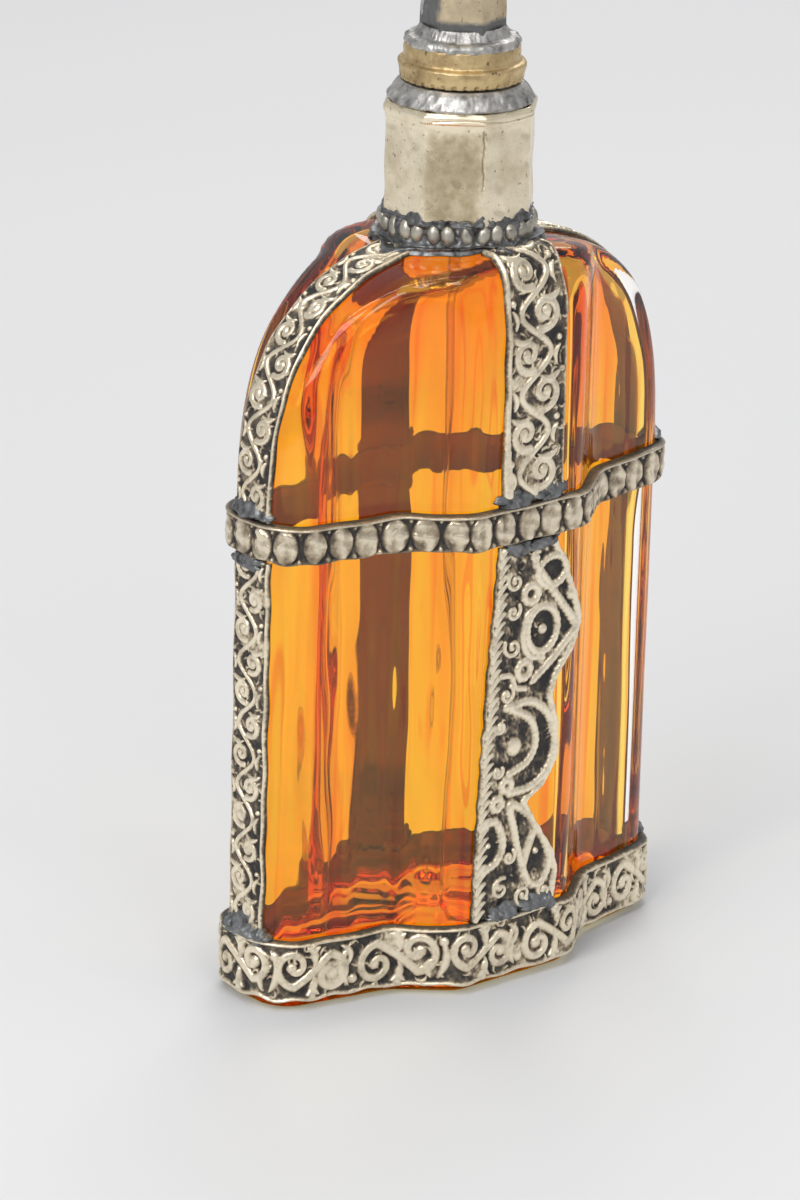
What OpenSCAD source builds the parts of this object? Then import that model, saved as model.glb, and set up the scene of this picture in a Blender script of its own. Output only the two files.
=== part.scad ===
// Perfume atomiser: an amber glass flask in a soldered nickel-silver mount,
// closed by a brass ring that carries a finger pump under a tall hexagonal stem.
// Millimetres, +Z up, origin at the centre of the glass foot.

/* [Flask] */
// Overall length along X, over the metal bands
body_len = 80; // [70:1:90]
// Overall depth along Y, over the metal bands
body_depth = 39.5; // [36:0.5:44]
// Half width of the flat front lobe before its corner
lobe_half = 11.3; // [10.5:0.1:12]
// Height at which the shoulders start to curve in
shoulder_z = 78; // [78:1:80]
// Height of the side shoulders over the straps
arch_top_z = 116; // [115:0.5:116.5]
// Height of the front and back lobes over the straps
lobe_top_z = 116.8; // [116:0.1:117]
// Thickness of the glass wall
glass_wall = 3; // [2.4:0.1:3.4]
// Height of the floor inside the bottle
floor_z = 7; // [5:0.5:9]

/* [Metal mount] */
// Lower edge of the base band
base_z = 1.2; // [1:0.1:2]
// Height of the base band
base_h = 10.1; // [9:0.1:11]
// Lower edge of the belt
belt_z = 71.5; // [70:0.5:73]
// Height of the belt
belt_h = 6.2; // [5:0.1:6.4]
// How far the glass lies inside the outer face of the bands
band_stand = 1.8; // [1.4:0.1:2]
// Thickness of the strap sheet
strap_t = 0.5; // [0.4:0.05:0.7]
// Width of the side straps
side_strap_w = 8; // [7:0.5:9]
// Width of the upper front strap
front_strap_w = 12; // [11:0.5:13]
// Width of the back straps
back_strap_w = 9; // [8:0.5:10]

/* [Neck] */
// Height of the top of the glass neck
neck_top = 142.6; // [142.4:0.1:142.8]
// Outer radius of the glass neck
neck_r = 7.5; // [7.3:0.1:7.6]
// Radius of the bore through the glass neck
neck_bore = 5.7; // [5.5:0.1:5.8]
// Width across the flats of the octagonal collar
collar_flats = 22; // [21:0.5:23]
// Lower and upper edges of the collar
collar_z = [119.3, 136.5];

/* [Pump] */
// Stroke of the finger pump
stroke = 5; // [4:0.5:5]
// Outer radius of the pump housing
housing_r = 4.4; // [4.2:0.1:4.5]
// Bore radius of the pump housing
housing_bore = 3.6; // [3.4:0.1:3.7]
// Outer radius of the dip tube
dip_r = 1; // [0.9:0.05:1.1]

/* [Stem and head] */
// Height of the foot of the hexagonal stem
stem_z = 146.3; // [146.3:0.1:147]
// Height of the hexagonal stem
stem_h = 27; // [24:1:28]
// Half width of the stem at its foot, corner to corner
stem_r0 = 6.7; // [6.3:0.1:7]
// Half width of the stem at its top, corner to corner
stem_r1 = 5.5; // [5.2:0.1:6]
// Largest radius of the pressed head
head_r = 8.2; // [7.8:0.1:9]

/* [Hidden] */
$fn = 48;
gap = 0.02;            // joint line between pieces of one body
fit = 0.05;            // radial clearance of a running fit
free = 0.3;            // space between pieces of different bodies
glass_in = band_stand; // inset of the glass from the band outline
strap_in = glass_in - gap - strap_t;
wall_in = glass_in + glass_wall;

// Plan outline of one quadrant: a rounded end, a gentle slope, a hollow and the lobe's corner
end_fillet = 8;
hollow_fillet = 6;
lobe_fillet = 6.5;
wing_slope = 0.2;
flank_slope = 0.826;
end_y = 8.7;
function unit(v) = v / norm(v);
n_wing = unit([wing_slope, 1]);
n_flank = unit([flank_slope, 1]);
half_len = body_len / 2;
half_dep = body_depth / 2;
// Corner centres: each lies one fillet inside (or outside) both lines that it joins
function meet(n1, c1, n2, c2) =
    let (det = n1.x * n2.y - n1.y * n2.x)
    [(c1 * n2.y - c2 * n1.y) / det, (n1.x * c2 - n2.x * c1) / det];
wing_c = n_wing * [half_len, end_y];
flank_c = n_flank * [lobe_half, half_dep];
end_pt = meet([1, 0], half_len - end_fillet, n_wing, wing_c - end_fillet);
hollow_pt = meet(n_wing, wing_c + hollow_fillet, n_flank, flank_c + hollow_fillet);
lobe_pt = meet(n_flank, flank_c - lobe_fillet, [0, 1], half_dep - lobe_fillet);

// Shoulders: super-ellipses above shoulder_z, seen from the front and from the side
arch_power = 2.6;
lobe_power = 7;
arch_steps = 20;
ease = 0.3;            // how far a shoulder's curve stands outside the walls that it meets
function shoulder(half, rise, power, lift, a) =
    [half * pow(max(cos(a), 0), 2 / power), lift + rise * pow(max(sin(a), 0), 2 / power)];

neck_root = 104;
ring_out = 12.5;   // straps stop at this radius
solder_out = 10.1;
bead_ring_r = 11.25;
bead_r = 1.12;
bead_z = 118;
bead_count = 29;
land_r = neck_r + 0.45;
ring_bore = land_r + free;
ring_z = 139.7;
gasket_h = 0.7;
flange_h = 0.8;
flange_r = 7.2;
flange_z = neck_top + gasket_h;
guide_r = 5.2;
guide_z = flange_z + flange_h;
guide_top = guide_z + 3.6;
ring_top = 145.1;
disc_top = 146.3;
housing_z = 118;
socket_z = 112;
housing_floor = 123;
seat_z = 119.6;
ball_r = 1.25;
ball_z = 120.6;
piston_top = guide_z - 4.2;
piston_h = 4;
rod_r = 2;
rod_foot_z = piston_top - piston_h - 1.5;
rod_top = 160;
dip_z = floor_z + 2.5;
lift_r = 2.6;
lift_z = guide_top + stroke + 0.6;
lift_top = 189.5;
stem_top = stem_z + stem_h;
stem_turn = 16.5;
cuff_h = 2.4;
cuff_top = stem_top + cuff_h;
sleeve_r = 4.2;
sleeve_top = cuff_top + 5.9;
skirt_z = cuff_top + stroke + 0.8;
skirt_in = sleeve_r + free;
head_top = skirt_z + 17.5;
nozzle_z = skirt_z + 9;
nozzle_r = 2.2;
spring_r = 2.4;
spring_wire = 0.3;
spring_turns = 7;

// ---------- shared shapes ----------

// Plan outline, drawn d inside the outer face of the bands
module plan(d) {
    difference() {
        union() {
            polygon([for (s = [[1, 1], [-1, 1], [-1, -1], [1, -1]])
                let (q = [
                    [half_len - d, end_pt.y],
                    end_pt + (end_fillet - d) * n_wing,
                    hollow_pt - (hollow_fillet + d) * n_wing,
                    hollow_pt - (hollow_fillet + d) * n_flank,
                    lobe_pt + (lobe_fillet - d) * n_flank,
                    [lobe_pt.x, half_dep - d]])
                for (i = [0 : 5])
                    let (p = s.x * s.y > 0 ? q[i] : q[5 - i]) [s.x * p.x, s.y * p.y]]);
            for (sx = [-1, 1], sy = [-1, 1]) {
                translate([sx * end_pt.x, sy * end_pt.y]) circle(r = end_fillet - d);
                translate([sx * lobe_pt.x, sy * lobe_pt.y]) circle(r = lobe_fillet - d);
            }
        }
        for (sx = [-1, 1], sy = [-1, 1])
            translate([sx * hollow_pt.x, sy * hollow_pt.y]) circle(r = hollow_fillet + d);
    }
}

// Outline of a shoulder as a closed arch from z0 up, for a half width and a top height
module arch(half, top, power, z0) {
    rise = top - shoulder_z;
    curve = [for (i = [0 : arch_steps])
        shoulder(half, rise, power, shoulder_z, 90 * i / arch_steps)];
    polygon(concat([[half, z0]], curve,
        [for (i = [arch_steps - 1 : -1 : 0]) [-curve[i].x, curve[i].y]], [[-half, z0]]));
}

// The flask's solid, d inside the outer face of the bands and standing on z0
module flask(d, z0) {
    drop = d - strap_in;
    intersection() {
        translate([0, 0, z0]) linear_extrude(arch_top_z + 5 - z0) plan(d);
        rotate([90, 0, 0]) translate([0, 0, -half_dep]) linear_extrude(body_depth)
            arch(half_len - d + ease, arch_top_z - drop, arch_power, z0 - 1);
        rotate([90, 0, 90]) translate([0, 0, -half_len]) linear_extrude(body_len)
            arch(half_dep - d + ease, lobe_top_z - drop, lobe_power, z0 - 1);
    }
}

module band(z, h) {
    translate([0, 0, z]) linear_extrude(h) difference() {
        plan(0);
        plan(glass_in - gap);
    }
}

// Sheet between the strap face and the glass, cut to the children's volume
module strap() {
    intersection() {
        difference() {
            flask(strap_in, base_z);
            flask(glass_in - gap, base_z - 1);
            cylinder(r = ring_out, h = 200);
        }
        children();
    }
}

module strap_slab(x, y, w, z0, z1) {
    if (y == 0)
        translate([x > 0 ? x : x - half_len, -w / 2, z0]) cube([half_len, w, z1 - z0]);
    else
        translate([x - w / 2, y > 0 ? 0 : -half_len, z0]) cube([w, half_len, z1 - z0]);
}

module side_strap(side, z0, z1) {
    strap() strap_slab(side * 5, 0, side_strap_w, z0, z1);
}

// Lower front strap: a straight roped side, and to its right a gable, a disc and a drop
rope_foot_x = -8.9;
rope_top_x = -5.7;
spine_x = 1.3;
gable = [[5.8, belt_z], [10, 62], [11.9, 56.3], [9.6, 51.6], [5.9, 45.7]];
disc_at = [0.4, 38];
disc_r = 7.4;
drop_at = [1.6, 18.4];
drop_r = 6.6;
drop_tip = [spine_x - 0.6, 30.1];
module lower_front_outline() {
    z = strap_low[0];
    intersection() {
        translate([rope_foot_x, z]) square([half_len, strap_low[1] - z]);
        difference() {
            union() {
                polygon(concat([[rope_foot_x, z], [rope_top_x, belt_z]], gable,
                    [[spine_x, 45], [spine_x, z]]));
                translate(disc_at) circle(r = disc_r);
                translate(drop_at) circle(r = drop_r);
                polygon([drop_at - [0, drop_r], drop_at + [drop_r * 0.85, drop_r * 0.5], drop_tip]);
            }
            polygon([[rope_foot_x - 1, 0], [rope_foot_x, z], [rope_top_x, belt_z],
                [-half_len, belt_z], [-half_len, 0]]);
        }
    }
}

module tube(r, bore, z0, z1) {
    difference() {
        translate([0, 0, z0]) cylinder(r = r, h = z1 - z0);
        translate([0, 0, z0 - 1]) cylinder(r = bore, h = z1 - z0 + 2);
    }
}

// ---------- flask and mount ----------

module glass_bottle() {
    color([1, 0.55, 0.1, 0.6]) difference() {
        union() {
            flask(glass_in, 0);
            translate([0, 0, neck_root]) cylinder(r = neck_r, h = neck_top - neck_root);
            for (z = [140, 141.3])
                translate([0, 0, z]) cylinder(r = land_r, h = 0.7);
        }
        flask(wall_in, floor_z);
        translate([0, 0, neck_root - 4]) cylinder(r = neck_bore, h = 60);
    }
}

module base_band() { color([0.84, 0.8, 0.7]) band(base_z, base_h); }
module belt_band() { color([0.86, 0.82, 0.72]) band(belt_z, belt_h); }

strap_low = [base_z + base_h + gap, belt_z - gap];
strap_high = [belt_z + belt_h + gap, 200];
front_shift = 0.7;     // the upper front strap stands this far right of the middle
module front_strap_upper() {
    color([0.8, 0.77, 0.68]) strap()
        strap_slab(front_shift, -1, front_strap_w, strap_high[0], strap_high[1]);
}

module front_strap_lower() {
    color([0.78, 0.75, 0.66]) strap()
        rotate([90, 0, 0]) linear_extrude(half_len) lower_front_outline();
}

module back_strap_upper() {
    color([0.8, 0.77, 0.68]) strap() strap_slab(0, 1, back_strap_w, strap_high[0], strap_high[1]);
}

module back_strap_lower() {
    color([0.78, 0.75, 0.66]) strap() strap_slab(0, 1, back_strap_w, strap_low[0], strap_low[1]);
}

module left_strap_upper() { color([0.8, 0.77, 0.68]) side_strap(-1, strap_high[0], strap_high[1]); }
module left_strap_lower() { color([0.8, 0.77, 0.68]) side_strap(-1, strap_low[0], strap_low[1]); }
module right_strap_upper() { color([0.8, 0.77, 0.68]) side_strap(1, strap_high[0], strap_high[1]); }
module right_strap_lower() { color([0.8, 0.77, 0.68]) side_strap(1, strap_low[0], strap_low[1]); }

// Fillets of solder where each strap meets a band, cut back to stand off the glass and straps
module solder_row(z, r, bands_z, bands_h) {
    spots = concat(
        [for (s = [-1, 1], y = [-3, 3]) [s * (half_len - 1.2), y]],
        [for (s = [-1, 1], x = [-4.5, 4.5]) [x, s * (half_dep - 0.9)]]);
    difference() {
        for (p = spots) translate([p.x, p.y, z]) sphere(r = r, $fn = 24);
        flask(strap_in - gap, 0);
        band(bands_z - gap, bands_h + 2 * gap);
        linear_extrude(200) difference() { square(200, center = true); plan(0); }
    }
}

module base_solder_joints() {
    color([0.5, 0.5, 0.52]) solder_row(base_z + base_h + 0.6, 1.5, base_z, base_h);
}

module belt_solder_joints() {
    color([0.5, 0.5, 0.52]) union() {
        solder_row(belt_z - 0.6, 1.4, belt_z, belt_h);
        solder_row(belt_z + belt_h + 0.6, 1.4, belt_z, belt_h);
    }
}

module neck_solder_ring() {
    color([0.45, 0.45, 0.48]) difference() {
        tube(solder_out, neck_r + gap, neck_root + 8, collar_z[0] - gap);
        flask(glass_in - gap, neck_root);
    }
}

module neck_bead_wire() {
    color([0.7, 0.68, 0.6]) union() {
        for (i = [0 : bead_count - 1]) rotate([0, 0, i * 360 / bead_count])
            translate([bead_ring_r, 0, bead_z]) sphere(r = bead_r, $fn = 24);
        translate([0, 0, bead_z]) rotate_extrude() translate([bead_ring_r, 0])
            circle(r = 0.5);
    }
}

module collar_sleeve() {
    wall = 0.8;
    corner = collar_flats / 2 / cos(22.5);
    h = collar_z[1] - collar_z[0];
    color([0.83, 0.8, 0.7]) translate([0, 0, collar_z[0]]) rotate([0, 0, 22.5])
        difference() {
            cylinder(r = corner, h = h, $fn = 8);
            translate([0, 0, -1]) cylinder(r = corner - wall / cos(22.5), h = h + 2, $fn = 8);
        }
}

module collar_top_solder() {
    seat = collar_z[1] + gap;
    color([0.55, 0.55, 0.57]) rotate_extrude() polygon([
        [neck_r + gap, seat - 2], [10, seat - 2], [10, seat], [11, seat], [10.7, seat + 1],
        [10, ring_z - 0.5], [9.4, ring_z - free], [neck_r + gap, ring_z - free]]);
}

// ---------- pump ----------

module neck_gasket() {
    color([0.25, 0.25, 0.25])
        tube(flange_r, housing_r + gap, neck_top + gap, neck_top + gasket_h - gap);
}

module pump_housing() {
    color([0.9, 0.9, 0.88]) difference() {
        union() {
            translate([0, 0, flange_z]) cylinder(r = flange_r, h = flange_h);
            translate([0, 0, housing_z]) cylinder(r = housing_r, h = guide_z - housing_z);
            translate([0, 0, socket_z]) cylinder(r = 2.2, h = housing_z - socket_z + 1);
        }
        translate([0, 0, housing_floor]) cylinder(r = housing_bore, h = 40);
        translate([0, 0, seat_z]) cylinder(r = ball_r + 0.2, h = 5);
        translate([0, 0, socket_z - 1]) cylinder(r = 0.8, h = 10);
        translate([0, 0, socket_z - 1]) cylinder(r = dip_r + gap, h = 7.4);
    }
}

module rod_guide() {
    color([0.93, 0.93, 0.9]) difference() {
        union() {
            translate([0, 0, guide_z + gap]) cylinder(r = guide_r, h = guide_top - guide_z - gap);
            translate([0, 0, piston_top + 0.2])
                cylinder(r = housing_bore - gap, h = guide_z - piston_top);
        }
        translate([0, 0, piston_top - 1]) cylinder(r = rod_r + fit, h = 20);
    }
}

module dip_tube() {
    color([0.9, 0.9, 0.9, 0.5]) difference() {
        tube(dip_r, 0.6, dip_z, socket_z + 6.3);
        translate([0, 0, dip_z]) rotate([0, -35, 0]) translate([-5, -5, -10]) cube([10, 10, 10]);
    }
}

module inlet_ball() {
    color([0.8, 0.8, 0.82]) translate([0, 0, ball_z]) sphere(r = ball_r);
}

// Coil of round wire with flat-lying ends, swept as one closed polyhedron
module return_spring() {
    z0 = housing_floor + spring_wire + gap;
    z1 = rod_foot_z - spring_wire - gap;
    steps = 16;
    sides = 6;
    rings = spring_turns * steps;
    function lift(t) = min(max((t - 0.08) / 0.84, 0), 1);
    pts = [for (i = [0 : rings], j = [0 : sides - 1])
        let (a = 360 * i / steps, b = 360 * j / sides,
            r = spring_r + spring_wire * cos(b))
        [r * cos(a), r * sin(a), z0 + (z1 - z0) * lift(i / rings) + spring_wire * sin(b)]];
    sidewalls = [for (i = [0 : rings - 1], j = [0 : sides - 1])
        let (k = (j + 1) % sides, p = i * sides, q = p + sides)
        each [[p + j, p + k, q + k], [p + j, q + k, q + j]]];
    cap0 = [for (j = [1 : sides - 2]) [0, j + 1, j]];
    cap1 = [for (j = [1 : sides - 2]) [rings * sides, rings * sides + j, rings * sides + j + 1]];
    color([0.7, 0.7, 0.72]) polyhedron(pts, concat(sidewalls, cap0, cap1));
}

module pump_rod() {
    color([0.95, 0.95, 0.93]) difference() {
        union() {
            translate([0, 0, rod_foot_z]) cylinder(r = rod_r, h = rod_top - rod_foot_z);
            translate([0, 0, rod_foot_z]) cylinder(r = 3, h = 1.5);
        }
        translate([0, 0, rod_foot_z - 1]) cylinder(r = 0.8, h = rod_top - rod_foot_z + 2);
    }
}

module piston_seal() {
    color([0.3, 0.3, 0.32])
        tube(housing_bore - fit, rod_r + gap, piston_top - piston_h + gap, piston_top);
}

module lift_tube() {
    color([0.75, 0.62, 0.35]) tube(lift_r, rod_r + gap, lift_z, lift_top);
}

// ---------- closure and stem ----------

module closure_ring() {
    color([0.72, 0.6, 0.38]) difference() {
        rotate_extrude() polygon([
            [0, ring_z], [9.25, ring_z], [9.55, ring_z + 0.8], [9.9, ring_z + 2],
            [10, ring_z + 2.4], [9.85, ring_z + 2.7], [9.2, ring_z + 3], [8.95, ring_top],
            [0, ring_top]]);
        translate([0, 0, ring_z - 1]) cylinder(r = ring_bore, h = guide_z + 0.1 - ring_z + 1);
        cylinder(r = guide_r + fit, h = 200);
    }
}

module closure_solder_disc() {
    color([0.6, 0.6, 0.62]) difference() {
        rotate_extrude() polygon([
            [0, ring_top + gap], [8.9, ring_top + gap], [8.95, ring_top + 0.6],
            [8.3, disc_top - 0.3], [7.2, disc_top - gap], [0, disc_top - gap]]);
        cylinder(r = guide_r + fit, h = 200);
    }
}

module stem_shroud() {
    wall = 0.7;
    color([0.8, 0.77, 0.66]) rotate([0, 0, stem_turn]) difference() {
        translate([0, 0, stem_z]) cylinder(r1 = stem_r0, r2 = stem_r1, h = stem_h, $fn = 6);
        translate([0, 0, stem_z]) cylinder(r = guide_r, h = 4);
        translate([0, 0, stem_z - 1]) cylinder(r = 3.9, h = stem_h + 2);
    }
}

// Bead of solder along one corner of the stem
module stem_seam_solder() {
    lean = atan((stem_r0 - stem_r1) / stem_h);
    color([0.55, 0.55, 0.57]) rotate([0, 0, stem_turn + 120]) difference() {
        translate([stem_r0 - 0.5, 0, stem_z]) rotate([0, -lean, 0])
            cylinder(r = 0.75, h = stem_h - 1.2);
        translate([0, 0, stem_z - 1]) cylinder(r1 = stem_r0 + gap + (stem_r0 - stem_r1) / stem_h,
            r2 = stem_r1 + gap, h = stem_h + 1, $fn = 6);
    }
}

module stem_cuff() {
    z = stem_top + gap;
    color([0.75, 0.62, 0.38]) difference() {
        rotate_extrude() polygon([
            [0, z], [5.4, z], [5.9, z + 0.4], [6.2, z + 1.1], [5.9, z + 1.8], [5.3, cuff_top],
            [0, cuff_top]]);
        cylinder(r = sleeve_r + gap, h = 300);
    }
}

module head_sleeve() {
    color([0.8, 0.74, 0.58]) tube(sleeve_r, lift_r + free, stem_top + gap, sleeve_top);
}

// ---------- pressed head ----------

module nozzle_seat(r) {
    translate([0, 0, nozzle_z]) rotate([90, 0, 0]) translate([0, 0, 4.6]) cylinder(r = r, h = 10);
}

// Turned metal cap over the plastic core
module head_shell() {
    z = skirt_z;
    color([0.84, 0.8, 0.7]) difference() {
        rotate_extrude() polygon([
            [0, z], [5.6, z], [5.9, z + 0.5], [5.9, z + 1.4], [5.5, z + 1.9], [5.5, z + 2.6],
            [6.3, z + 3.6], [7.3, z + 5.2], [8, z + 7], [head_r, z + 8.8], [8, z + 10.6],
            [7.4, z + 12.2], [6.5, z + 13.6], [6, z + 14.2], [6.1, z + 14.9], [5.8, z + 15.6],
            [4.8, z + 16.5], [3.2, z + 17.2], [1.5, z + 17.45], [0, head_top]]);
        translate([0, 0, z - 1]) cylinder(r = skirt_in, h = 6.6);
        translate([0, 0, z + 5]) cylinder(r = 5.2, h = 8);
        nozzle_seat(nozzle_r + gap);
    }
}

module head_core() {
    z = skirt_z + 5.6;
    color([0.92, 0.92, 0.9]) difference() {
        translate([0, 0, z + gap]) cylinder(r = 5.2 - gap, h = 7.3);
        translate([0, 0, z - 1]) cylinder(r = lift_r + 0.03, h = lift_top - z + 1);
        translate([0, 0, lift_top - 1]) cylinder(r = 1, h = nozzle_z - lift_top + 1.8);
        translate([0, 0, nozzle_z]) rotate([90, 0, 0]) cylinder(r = 0.8, h = 12);
        nozzle_seat(nozzle_r + gap);
    }
}

module nozzle_insert() {
    color([0.2, 0.2, 0.2]) translate([0, 0, nozzle_z]) rotate([90, 0, 0]) difference() {
        translate([0, 0, 4.65]) cylinder(r = nozzle_r, h = 3);
        translate([0, 0, 4]) cylinder(r = 0.8, h = 3);
        translate([0, 0, 4]) cylinder(r = 0.2, h = 6);
        translate([0, 0, 7.3]) cylinder(r = 1.1, h = 2);
    }
}

glass_bottle();
base_band();
belt_band();
front_strap_upper();
front_strap_lower();
back_strap_upper();
back_strap_lower();
left_strap_upper();
left_strap_lower();
right_strap_upper();
right_strap_lower();
base_solder_joints();
belt_solder_joints();
neck_solder_ring();
neck_bead_wire();
collar_sleeve();
collar_top_solder();
neck_gasket();
pump_housing();
rod_guide();
dip_tube();
inlet_ball();
return_spring();
pump_rod();
piston_seal();
lift_tube();
closure_ring();
closure_solder_disc();
stem_shroud();
stem_seam_solder();
stem_cuff();
head_sleeve();
head_shell();
head_core();
nozzle_insert();
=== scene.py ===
"""Looks of an amber glass flask in a soldered nickel-silver mount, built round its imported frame.

Lengths in this file are millimetres until add_piece() turns them into metres.
Front is -Y, and s is the distance round the flask from the middle of the front lobe.
"""
import math

import bpy
import numpy as np
from mathutils import Matrix, Vector


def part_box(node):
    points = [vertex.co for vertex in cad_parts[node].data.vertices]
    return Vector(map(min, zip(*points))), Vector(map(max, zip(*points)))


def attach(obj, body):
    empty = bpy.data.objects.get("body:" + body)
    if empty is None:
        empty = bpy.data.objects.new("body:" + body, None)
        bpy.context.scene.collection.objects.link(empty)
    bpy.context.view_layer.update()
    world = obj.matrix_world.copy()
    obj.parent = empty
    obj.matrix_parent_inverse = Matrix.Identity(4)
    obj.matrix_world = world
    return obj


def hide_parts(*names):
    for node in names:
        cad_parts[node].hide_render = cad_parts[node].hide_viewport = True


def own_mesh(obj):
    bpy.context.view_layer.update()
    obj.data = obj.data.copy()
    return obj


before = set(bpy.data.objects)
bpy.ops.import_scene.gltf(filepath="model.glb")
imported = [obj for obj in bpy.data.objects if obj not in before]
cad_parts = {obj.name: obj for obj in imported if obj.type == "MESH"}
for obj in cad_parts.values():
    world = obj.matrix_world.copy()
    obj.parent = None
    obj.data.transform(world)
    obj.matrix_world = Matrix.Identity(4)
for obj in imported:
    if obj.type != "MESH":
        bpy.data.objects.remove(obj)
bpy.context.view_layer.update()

MM = 0.001
TAU = 2 * math.pi


def span(node):
    """Lowest and highest corner of a CAD node, in millimetres."""
    low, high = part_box(node)
    return np.array(low) / MM, np.array(high) / MM


def levels(node):
    """Heights of a CAD node's foot and top, in millimetres."""
    low, high = span(node)
    return low[2], high[2]


# ---------- sizes from the frame ----------

HALF_LEN, HALF_DEP, _ = span("base_band")[1]
BASE_Z, BASE_TOP = levels("base_band")
BELT_Z, BELT_TOP = levels("belt_band")
COLLAR_Z, COLLAR_TOP = levels("collar_sleeve")
RING_Z, RING_TOP = levels("closure_ring")
STEM_Z, STEM_TOP = levels("stem_shroud")
HEAD_Z, HEAD_TOP = levels("head_shell")
_, NECK_TOP = levels("glass_bottle")
_, DISC_TOP = levels("closure_solder_disc")
_, CUFF_TOP = levels("stem_cuff")
NOZZLE_Z = sum(levels("nozzle_insert")) / 2
GLASS_IN = HALF_LEN - span("glass_bottle")[1][0]   # from the mount's outer face to the glass
COLLAR_FLAT = span("collar_sleeve")[1][0]

# ---------- sizes of the flask's outline, as in part.scad ----------

LOBE_HALF = 11.3
END_FILLET, HOLLOW_FILLET, LOBE_FILLET = 8.0, 6.0, 6.5
WING_SLOPE, FLANK_SLOPE, END_Y = 0.2, 0.826, 8.7
GLASS_WALL = 3.0
FLOOR_Z = 7.0
SHOULDER_Z = 78.0
ARCH_TOP, LOBE_TOP = 116.0, 116.8
ARCH_POWER, LOBE_POWER = 2.6, 7.0
STRAP_T = 0.5
NECK_R, NECK_BORE = 7.5, 5.7
BEAD_RING_R, BEAD_Z, BEAD_COUNT = 11.3, 117.9, 29
STEM_TURN = math.radians(16.5)
STEM_R0, STEM_R1 = 6.7, 5.5
SLEEVE_R = 4.2
HEAD_R = 8.2
BACK_STRAP_W = 9.0

# ---------- sizes of the looks ----------

GRID = 0.16                           # spacing of the points that carry relief
CAVITY_END, CAVITY_ROUND = 34.4, 14   # the cavity's right end is rounder, and the glass thicker
THICK_TO, THIN_FROM = 62, 78          # heights between which that end thins to the even wall
SHOULDER_ROUND = 9.0                  # how sharply the skin's wall and shoulders meet
CAVITY_SMOOTH = 45                    # how far the cavity rounds off the outline's corners
STRAP_END = math.radians(72.5)        # how far a strap leans in over the shoulder
RIPPLE = 0.42                         # unevenness of the blown inner wall
SHADOW_TINT = 0.1                     # share of the glass's colour in the light it lets through
CROWN_LOW, CROWN_HIGH = 0.080, 0.112  # the amber deepens between these heights, in metres
HEEL_LOW, HEEL_HIGH = 0.007, 0.022    # and it is a little deeper at the foot, up to here
FLOOR_GLOW = 1.03                     # the floor's brightness as seen through glass
SKY = 0.545                           # the sky's strength
TEETH_PITCH, TEETH_DEPTH = 0.95, 0.36  # of a serrated edge
BAND_SEED = 16
CAD_FINISH = {"neck_gasket": "rubber", "pump_housing": "plastic", "rod_guide": "plastic",
              "dip_tube": "tube", "inlet_ball": "steel", "pump_rod": "plastic",
              "piston_seal": "rubber", "lift_tube": "brass", "head_sleeve": "brass",
              "head_core": "plastic", "nozzle_insert": "nozzle"}


def unit(x, y):
    """The unit vector along (x, y)."""
    return np.array([x, y]) / math.hypot(x, y)


def meet(n1, c1, n2, c2):
    """The point where the lines n1.p = c1 and n2.p = c2 cross."""
    return np.linalg.solve(np.array([n1, n2]), np.array([c1, c2]))


def corner_centres():
    """Unit normals of the wing and the flank, and the centres of the outline's three fillets."""
    wing, flank = unit(WING_SLOPE, 1), unit(FLANK_SLOPE, 1)
    wing_c = wing @ [HALF_LEN, END_Y]
    flank_c = flank @ [LOBE_HALF, HALF_DEP]
    end = meet(np.array([1.0, 0]), HALF_LEN - END_FILLET, wing, wing_c - END_FILLET)
    hollow = meet(wing, wing_c + HOLLOW_FILLET, flank, flank_c + HOLLOW_FILLET)
    lobe = meet(flank, flank_c - LOBE_FILLET, np.array([0, 1.0]), HALF_DEP - LOBE_FILLET)
    return wing, flank, end, hollow, lobe


def quarter_outline(step=0.1):
    """Points and outward normals of a quarter of the outline, from the lobe's middle to the end."""
    wing, flank, end, hollow, lobe = corner_centres()
    wing_a, flank_a = math.atan2(wing[1], wing[0]), math.atan2(flank[1], flank[0])
    points, normals = [], []

    def line(a, b, n):
        t = np.linspace(0, 1, max(2, int(np.hypot(*(b - a)) / step)), endpoint=False)[:, None]
        points.append(a + (b - a) * t)
        normals.append(np.tile(n, (len(t), 1)))

    def arc(centre, radius, a0, a1):
        a = np.linspace(a0, a1, max(6, int(abs(radius * (a1 - a0)) / step)), endpoint=False)
        n = np.column_stack([np.cos(a), np.sin(a)])
        points.append(centre + radius * n)
        normals.append(n)

    line(np.array([0, HALF_DEP]), np.array([lobe[0], HALF_DEP]), [0, 1])
    arc(lobe, LOBE_FILLET, math.pi / 2, flank_a)
    line(lobe + LOBE_FILLET * flank, hollow - HOLLOW_FILLET * flank, flank)
    arc(hollow, -HOLLOW_FILLET, flank_a, wing_a)
    line(hollow - HOLLOW_FILLET * wing, end + END_FILLET * wing, wing)
    arc(end, END_FILLET, wing_a, 0)
    line(np.array([HALF_LEN, end[1]]), np.array([HALF_LEN, -step / 2]), [1, 0])
    return np.vstack(points), np.vstack(normals)


Q_POINTS, Q_NORMALS = quarter_outline()
Q_S = np.concatenate([[0], np.cumsum(np.hypot(*np.diff(Q_POINTS, axis=0).T))])
QUARTER = Q_S[-1]


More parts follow.
